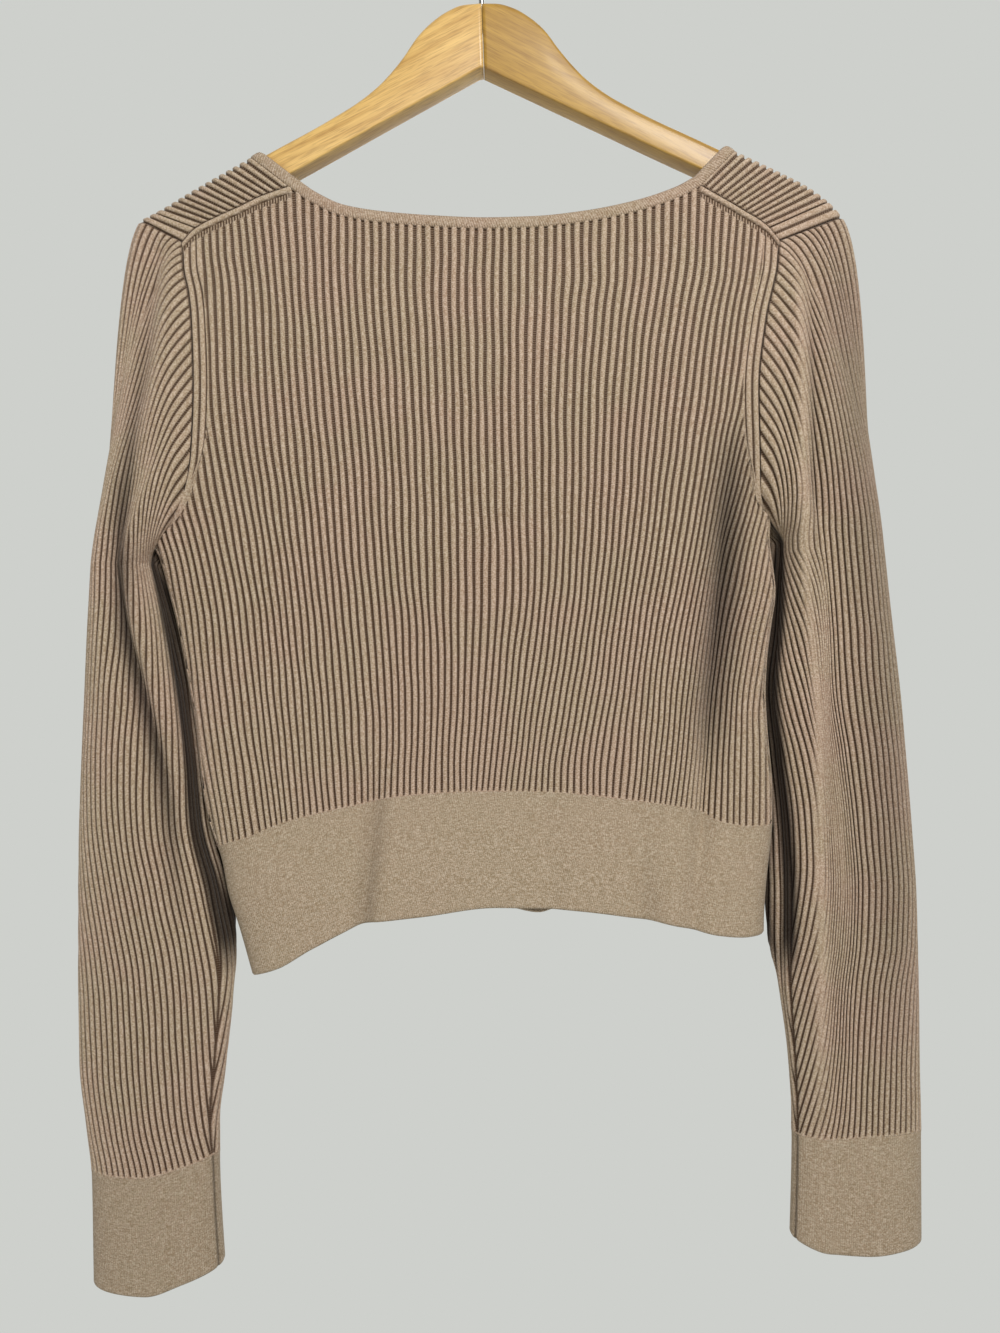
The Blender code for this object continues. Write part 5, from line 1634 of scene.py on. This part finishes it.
class Shader:
    """A material's node tree, with short calls for the nodes that the finishes use."""

    def __init__(self, name: str) -> None:
        """Start a material with a bare Principled shader.

        Args:
            name: The material's name.
        """
        self.material = bpy.data.materials.new(name)
        self.material.use_nodes = True
        self.tree = self.material.node_tree
        self.surface = self.tree.nodes["Principled BSDF"]

    def node(self, kind: str, settings: dict | None = None, *inputs: "Value | float | tuple",
             output: int = 0, **named: "Value | float | tuple") -> Value:
        """Add a node.

        Args:
            kind: The node's type.
            settings: Its own settings, set first.
            *inputs: Values or links of its first sockets, in order.
            output: Which output to return.
            **named: Values or links of sockets by name, with _ for a space.

        Returns:
            The output as a value.
        """
        made = self.tree.nodes.new(kind)
        for name, value in (settings or {}).items():
            setattr(made, name, value)
        for socket, value in zip(made.inputs, inputs):
            self.feed(socket, value)
        for name, value in named.items():
            self.feed(made.inputs[name.replace("_", " ")], value)
        return Value(self, made.outputs[output])

    def feed(self, socket: bpy.types.NodeSocket, value: "Value | float | tuple") -> None:
        """Link a value to a socket, or set it.

        Args:
            socket: The input.
            value: What goes into it.
        """
        if isinstance(value, Value):
            self.tree.links.new(value.socket, socket)
        else:
            socket.default_value = value

    def mix(self, factor: "Value | float", first: "Value | tuple", second: "Value | tuple") -> Value:
        """Mix two colours.

        Args:
            factor: How much of the second shows.
            first: A colour.
            second: Another colour.

        Returns:
            The mixed colour.
        """
        made = self.tree.nodes.new("ShaderNodeMix")
        made.data_type = "RGBA"
        self.feed(made.inputs[0], factor)
        for socket, value in ((made.inputs[6], first), (made.inputs[7], second)):
            self.feed(socket, value if isinstance(value, Value) else (*value[:3], 1))
        return Value(self, made.outputs[2])

    def noise(self, where: Value, scale: float, detail: float = 2.0, roughness: float = 0.5) -> Value:
        """Add a noise that runs from 0 to 1."""
        return self.node("ShaderNodeTexNoise", Vector=where, Scale=scale, Detail=detail, Roughness=roughness)

    def range(self, value: Value, low: float, high: float) -> Value:
        """Bring low to 0 and high to 1, smoothly and no further."""
        smoothly = {"interpolation_type": "SMOOTHSTEP"}
        return self.node("ShaderNodeMapRange", smoothly, value, low, high, 0.0, 1.0)

    def place(self) -> Value:
        """Read the place in the object, in metres."""
        return self.node("ShaderNodeTexCoord", output=3)

    def uv(self) -> tuple[Value, Value]:
        """Read the rib number and the millimetres along it."""
        return self.split(self.node("ShaderNodeUVMap", {"uv_map": "UVMap"}))[:2]

    def split(self, vector: Value) -> tuple[Value, ...]:
        """Take a vector apart.

        Args:
            vector: The vector.

        Returns:
            Its x, y and z.
        """
        parts = self.tree.nodes.new("ShaderNodeSeparateXYZ")
        self.feed(parts.inputs[0], vector)
        return tuple(Value(self, out) for out in parts.outputs)

    def attribute(self, name: str) -> Value:
        """Read a number kept on the mesh."""
        return self.node("ShaderNodeAttribute", {"attribute_name": name}, output=2)

    def join(self, x: "Value | float", y: "Value | float", z: "Value | float" = 0.0) -> Value:
        """Make a vector."""
        return self.node("ShaderNodeCombineXYZ", {}, x, y, z)

    def set(self, **named: "Value | float | tuple") -> None:
        """Set or link the surface's own sockets by name."""
        for name, value in named.items():
            self.feed(self.surface.inputs[name.replace("_", " ")], value)

    def bump(self, height: Value, strength: float, distance: float) -> None:
        """Roughen the surface with a height."""
        self.set(Normal=self.node("ShaderNodeBump", Strength=strength, Distance=distance, Height=height))


def colour(red: int, green: int, blue: int) -> tuple[float, float, float]:
    """Turn a display colour of 0 to 255 into a linear one."""
    return tuple(c / 255 / 12.92 if c <= 10 else ((c / 255 + 0.055) / 1.055) ** 2.4
                 for c in (red, green, blue))


# -------- finishes

@dataclass(frozen=True)
class Yarn:
    """The garment's heathered yarn, shared by the ribbed and the smooth knit."""

    light: tuple = (184, 156, 129)
    warm: tuple = (176, 145, 120)
    olive: tuple = (170, 147, 116)
    pale: tuple = (173, 156, 127)
    # The colour that painted shade darkens the cloth towards
    deep: tuple = (22, 11, 4)
    # The grooves' colour: partly the darker purl stitches, partly painted shade in the grooves
    dark: tuple = (56, 31, 8)
    # Colours of the fine specks: painted fibre shadow and painted fibre glint
    painted_fibre_shadow: tuple = (0.10, 0.07, 0.045)
    painted_fibre_glint: tuple = (1.0, 0.93, 0.82)
    # How far the painted shade darkens at the most
    painted_shade_most: float = 0.94

    def heather(self, shader: Shader, where: Value, tone: Value, plain: float = 0.0) -> Value:
        """Mix the yarn's tones.

        Args:
            shader: The material's shader.
            where: The place in the object.
            tone: Which ply shows, from 0 to 1.
            plain: How much of the smooth knit's paler, yellower tone is in it.

        Returns:
            The yarn's colour.
        """
        cloud = shader.noise(where, 17.0, 3.0, 0.6)
        base = shader.mix(shader.range(cloud, 0.40, 0.62), colour(*self.olive), colour(*self.warm))
        base = shader.mix(plain, base, colour(*self.pale))
        base = shader.mix(shader.range(tone, 0.25, 0.75) * 0.6, base, colour(*self.light))
        # Fine specks at random: partly the yarn's own tone, partly painted shadows and glints on its fibres
        fleck = shader.noise(where, 1100.0, 2.0)
        return shader.mix(shader.range(fleck, 0.32, 0.70), shader.mix(0.28 - 0.06 * plain, base, self.painted_fibre_shadow),
                          shader.mix(0.22 + 0.02 * plain, base, self.painted_fibre_glint))

    def with_painted_shade(self, shader: Shader, shown: Value) -> Value:
        """Darken the colour with painted shade where the cloth lies deep in a fold or against another piece.
        """
        return shader.mix(shader.attribute("painted_shade") * self.painted_shade_most, shown, colour(*self.deep))

    @staticmethod
    def fibre(shader: Shader, where: Value) -> Value:
        """Make the yarn's fuzz."""
        return shader.noise(where, 2600.0, 2.0)

    @staticmethod
    def cover(shader: Shader, shown: Value, height: Value, strength: float,
              depth: float) -> bpy.types.Material:
        """Give a knit its colour, the wool's dull sheen and its loops.

        Args:
            shader: The material's shader.
            shown: The knit's colour.
            height: How far the loops stand out, about 0 to 2.
            strength: How strongly they show.
            depth: How deep they are, in metres.

        Returns:
            The finished material.
        """
        shader.set(Base_Color=shown, Roughness=0.92, Sheen_Weight=0.08, Sheen_Roughness=0.6,
                   Specular_IOR_Level=0.15)
        shader.bump(height, strength, depth)
        return shader.material


@dataclass(frozen=True)
class RibbedKnit:
    """Deep ribs with dark grooves, in which the stitches show as rungs: the grooves' darkness is partly the
    purl stitches' own darker look and partly painted shade.
    """

    yarn: Yarn = Yarn()
    stitch: float = 1.35
    fluff: float = 0.00035
    opens: tuple = (-0.46, -0.26)

    def make(self) -> bpy.types.Material:
        """Make the material.

        Returns:
            The finished material.
        """
        shader = Shader("ribbed_knit_yarn")
        number, along = shader.uv()
        where = shader.place()
        relief = shader.attribute("relief")
        tone = shader.noise(shader.join(number * 0.9, along * 0.02), 1.0, 2.0)
        yarn = self.yarn.heather(shader, where, tone)
        rung = along.wave(self.stitch)
        loops = shader.noise(shader.join(number * 6.0, along * (2.2 / self.stitch)), 1.0, 2.0)
        # Darkness in the grooves, by the rib's relief: partly the purl stitches' own colour, partly painted
        # shade
        deep = 1 - shader.range(relief + (loops - 0.5) * 0.35, 0.10, 0.95)
        opened = shader.range(shader.split(where)[2], *self.opens)
        ladder = shader.range(number, LADDER_MARK - 2, LADDER_MARK - 1)
        dark = deep * (0.99 - rung * (0.20 + opened * 0.16 + ladder * 0.38))
        shaded = shader.mix(dark, yarn, colour(*self.yarn.dark))
        height = loops * 0.8 + self.yarn.fibre(shader, where) * 0.5 + rung * 0.35
        return self.yarn.cover(shader, self.yarn.with_painted_shade(shader, shaded), height, 0.75, self.fluff)


@dataclass(frozen=True)
class SmoothKnit:
    """Fine jersey in the same yarn: narrow upright wales and fine courses."""

    yarn: Yarn = Yarn()
    wale: float = 1.25
    course: float = 0.95
    fluff: float = 0.00028
    plain: float = 0.75
    # The colour between wales and loops and in darker streaks: partly painted shade between the loops, partly
    # the yarn's own streaky tone
    gap: tuple = (112, 90, 60)

    def make(self) -> bpy.types.Material:
        """Make the material.

        Returns:
            The finished material.
        """
        shader = Shader("smooth_knit_yarn")
        across, along = shader.uv()
        where = shader.place()
        tone = shader.noise(shader.join(across * 0.24, along * 1.0), 1.0, 4.0, 0.65)
        yarn = self.yarn.heather(shader, where, tone, self.plain)
        wale, course = across.wave(self.wale), along.wave(self.course)
        loops = shader.noise(shader.join(across * (1.6 / self.wale), along * (1.2 / self.course)), 1.0, 2.0)
        streak = shader.range(tone, 0.36, 0.62)
        # Darker between the wales and loops, partly the knit's own look and partly painted shade, and in the
        # heather's streaks, the yarn's own tone
        dark = (1 - wale) * 0.15 + (1 - shader.range(loops, 0.30, 0.62)) * 0.18 + (1 - streak) * 0.28
        shaded = shader.mix(dark, yarn, colour(*self.gap))
        height = wale * 0.7 + course * 0.25 + loops * 0.7 + self.yarn.fibre(shader, where) * 0.4
        return self.yarn.cover(shader, self.yarn.with_painted_shade(shader, shaded), height, 0.7, self.fluff)


@dataclass(frozen=True)
class TrimKnit:
    """The neckband's firm knit: short stitches across the band."""

    yarn: Yarn = Yarn()
    stitch: float = 1.5
    slant: float = 0.35
    fluff: float = 0.0004
    # The colour between the stitches, partly painted shade
    gap: tuple = (110, 84, 62)

    def make(self) -> bpy.types.Material:
        """Make the material.

        Returns:
            The finished material.
        """
        shader = Shader("neckband_yarn")
        across, along = shader.uv()
        where = shader.place()
        tone = shader.noise(shader.join(along * 0.1, across * 0.3), 1.0, 2.0)
        yarn = self.yarn.heather(shader, where, tone)
        tick = (along + across * self.slant).wave(self.stitch)
        # Darker between the stitch ticks: partly the knit's own look, partly painted shade
        shaded = shader.mix((1 - tick) * 0.30, yarn, colour(*self.gap))
        return self.yarn.cover(shader, shaded, tick + self.yarn.fibre(shader, where) * 0.4, 0.8, self.fluff)


@dataclass(frozen=True)
class LacqueredWood:
    """Yellow lacquered wood with grain that runs along one arm."""

    side: Side
    light: tuple
    dark: tuple
    pore: tuple = (120, 80, 36)
    slope: float = 27.5

    def make(self) -> bpy.types.Material:
        """Make the material.

        Returns:
            The finished material.
        """
        shader = Shader(f"lacquered_wood_{self.side.word}")
        where = shader.node("ShaderNodeMapping", {}, shader.place(),
                            Rotation=(0.0, math.radians(-self.side * self.slope), 0.0))
        run, deep, rise = shader.split(where)
        stretched = shader.join(run * 14.0, deep * 90.0, rise * 260.0)
        bands = shader.noise(stretched, 1.0, 4.0, 0.6)
        fine = shader.noise(shader.join(run * 90.0, deep * 900.0, rise * 1400.0), 1.0, 2.0)
        wood = shader.mix(shader.range(bands, 0.22, 0.72), colour(*self.dark), colour(*self.light))
        wood = shader.mix(shader.range(fine, 0.42, 0.75) * 0.4, wood, colour(*self.pore))
        shader.set(Base_Color=wood, Roughness=0.42 + fine * 0.1, Coat_Weight=0.3, Coat_Roughness=0.2)
        shader.bump(bands * 0.5 + fine * 0.5, 0.15, 0.0002)
        return shader.material


@dataclass(frozen=True)
class SteelWire:
    """Bright plated steel with a faint drawn grain."""

    dull: tuple = (0.62, 0.62, 0.61)
    bright: tuple = (0.74, 0.74, 0.73)

    def make(self) -> bpy.types.Material:
        """Make the material.

        Returns:
            The finished material.
        """
        shader = Shader("bright_steel_wire")
        across, along = shader.uv()
        grain = shader.noise(shader.join(across * 6.0, along * 0.05), 1.0, 3.0)
        smear = shader.noise(shader.place(), 60.0, 2.0)
        shader.set(Base_Color=shader.mix(smear, self.dull, self.bright), Metallic=1.0,
                   Roughness=0.18 + grain * 0.14)
        shader.bump(grain, 0.1, 0.0001)
        return shader.material


# -------- studio

@dataclass(frozen=True)
class Lamp:
    """One soft square light: where it hangs, its size in metres and its power in watts."""

    name: str
    place: tuple
    size: float
    power: float


@dataclass
class Studio:
    """The pale floor, the soft light and the camera."""

    paper: tuple = (206, 208, 204)
    dim: float = 0.32
    turns_dim: tuple = (-0.35, 0.6)
    floor_place: tuple = (0, -0.75, -1.45)
    floor_half: float = 1.5
    floor_tones: tuple = ((206, 207, 204), (214, 215, 212))
    aim: tuple = (0.0, 0.0, -0.5)
    lamps: tuple = (Lamp("key", (0.5, -1.3, 0.4), 0.6, 23.0),
                    Lamp("fill", (-0.9, -1.2, -0.9), 1.2, 6.0),
                    Lamp("rear", (0.3, 1.6, 0.3), 1.4, 12.0))
    camera_place: tuple = (0.0146, -0.6, -0.465)
    sensor: float = 36.0
    lens: float = 27.0068
    nearest: float = 0.01

    def build(self) -> None:
        """Set up everything that isn't part of the object."""
        self._floor()
        self._world()
        for lamp in self.lamps:
            self._light(lamp)
        self._camera()
        bpy.context.scene.view_settings.view_transform = "Standard"

    def _floor(self) -> None:
        """Lay the floor."""
        mesh = bmesh.new()
        bmesh.ops.create_grid(mesh, x_segments=2, y_segments=2, size=self.floor_half)
        bmesh.ops.translate(mesh, verts=mesh.verts, vec=self.floor_place)
        data = bpy.data.meshes.new("floor")
        mesh.to_mesh(data)
        mesh.free()
        shader = Shader("pale_floor")
        grain = shader.noise(shader.place(), 8.0, 3.0)
        shader.set(Base_Color=shader.mix(grain, *(colour(*tone) for tone in self.floor_tones)), Roughness=0.8)
        data.materials.append(shader.material)
        floor = bpy.data.objects.new("floor", data)
        bpy.context.collection.objects.link(floor)

    def _world(self) -> None:
        """Fill the room with plain soft light: pale behind the garment, dimmer before it."""
        world = bpy.data.worlds.new("pale_room")
        world.use_nodes = True
        nodes, links = world.node_tree.nodes, world.node_tree.links
        direction, split = nodes.new("ShaderNodeTexCoord"), nodes.new("ShaderNodeSeparateXYZ")
        links.new(direction.outputs["Generated"], split.inputs[0])
        ramp = nodes.new("ShaderNodeMapRange")
        ramp.interpolation_type = "SMOOTHSTEP"
        for socket, value in zip(ramp.inputs[1:5], (*self.turns_dim, self.dim, 1.0)):
            socket.default_value = value
        links.new(split.outputs[1], ramp.inputs[0])
        links.new(ramp.outputs[0], nodes["Background"].inputs["Strength"])
        nodes["Background"].inputs["Color"].default_value = (*colour(*self.paper), 1)
        bpy.context.scene.world = world

    def _light(self, lamp: Lamp) -> None:
        """Hang a light and aim it at the garment.

        Args:
            lamp: The light.
        """
        data = bpy.data.lights.new(lamp.name, "AREA")
        data.size, data.energy = lamp.size, lamp.power
        light = bpy.data.objects.new(lamp.name, data)
        light.location = lamp.place
        light.rotation_euler = (Vector(self.aim) - Vector(lamp.place)).to_track_quat("-Z", "Y").to_euler()
        bpy.context.collection.objects.link(light)

    def _camera(self) -> None:
        """Set the camera level, straight at the garment's back."""
        view = bpy.data.cameras.new("camera")
        view.sensor_width, view.lens, view.clip_start = self.sensor, self.lens, self.nearest
        camera = bpy.data.objects.new("camera", view)
        camera.location = self.camera_place
        camera.rotation_euler = (math.pi / 2, 0, 0)
        bpy.context.collection.objects.link(camera)
        bpy.context.scene.camera = camera


# -------- the object

class Cut(Enum):
    """Each cloth piece's flat cut in metres: width, length and area."""

    BACK = (0.372, 0.395, 0.121)
    FRONT = (0.416, 0.410, 0.111)
    SLEEVE_LEFT = (0.227, 0.530, 0.090)
    SLEEVE_RIGHT = (0.227, 0.530, 0.092)
    HEM_BACK = (0.342, 0.072, 0.0229)
    HEM_FRONT = (0.342, 0.072, 0.0228)
    CUFF = (0.165, 0.071, 0.0107)
    NECKBAND = (0.740, 0.011, 0.0044)


def build_hanger() -> None:
    """Build the two wooden arms and the hook."""
    hanger = Hanger()
    # Both arms are the same wood: the left arm's colours are painted lighter and the right arm's darker,
    # painted light and painted shade for how the light falls on each
    for side, light, dark in ((Side.LEFT, (222, 182, 108), (184, 140, 72)),
                              (Side.RIGHT, (182, 142, 60), (150, 110, 40))):
        wood = LacqueredWood(side, light, dark).make()
        arm = hanger.arm(side).make(f"wooden_arm_{side.word}", wood, close_ends=True)
        declare(arm, "lacquered_wood", f"hanger_arm_{side.word}")
    hook = hanger.hook().make("wire_hook", SteelWire().make(), close_ends=True)
    declare(hook, "steel_wire", "hanger_hook")


def build_sweater() -> None:
    """Build the panels, the bands, the sleeves and the neck trim."""
    ribbed, smooth, trim = RibbedKnit().make(), SmoothKnit().make(), TrimKnit().make()
    torso, lines, smooth_band = Torso(Shoulders()), RibLines(), SmoothBand()
    knit, finer = RibKnitting(), RibKnitting(depth=1.45)
    front_panel = Panel(torso, lines, knit, Face.FRONT, top_rows=(1.0, 0.0))
    front = front_panel.sheet().make("ribbed_front", ribbed, knit.thickness)
    declare(front, "ribbed_knit", "front_panel")
    back = Panel(torso, lines, knit, Face.BACK).sheet().make("ribbed_back", ribbed, knit.thickness)
    declare(back, "ribbed_knit", "back_panel")
    for face, above, cut in ((Face.BACK, back, Cut.HEM_BACK), (Face.FRONT, front, Cut.HEM_FRONT)):
        hem = HemBand(torso, smooth_band, face).sheet()
        hem = hem.make(f"smooth_hem_{face.word}", smooth, smooth_band.thickness)
        declare(hem, "smooth_knit", f"hem_band_{face.word}")
    for side, cut in ((Side.LEFT, Cut.SLEEVE_LEFT), (Side.RIGHT, Cut.SLEEVE_RIGHT)):
        arm = Arm(torso, finer, smooth_band, side)
        sleeve = arm.sleeve().make(f"ribbed_sleeve_{side.word}", ribbed, knit.thickness)
        declare(sleeve, "ribbed_knit", f"sleeve_{side.word}")
        cuff = arm.cuff_sheet().make(f"smooth_cuff_{side.word}", smooth, smooth_band.thickness)
        declare(cuff, "smooth_knit", f"cuff_{side.word}")
    neck = Neckband(torso).sheet().make("neck_trim", trim)
    declare(neck, "smooth_knit", "neckband")


def main() -> None:
    """Build the studio, the hanger and the sweater."""
    logging.basicConfig(level=logging.INFO, format="%(message)s")
    Studio().build()
    build_hanger()
    build_sweater()


if __name__ == "__main__":
    main()
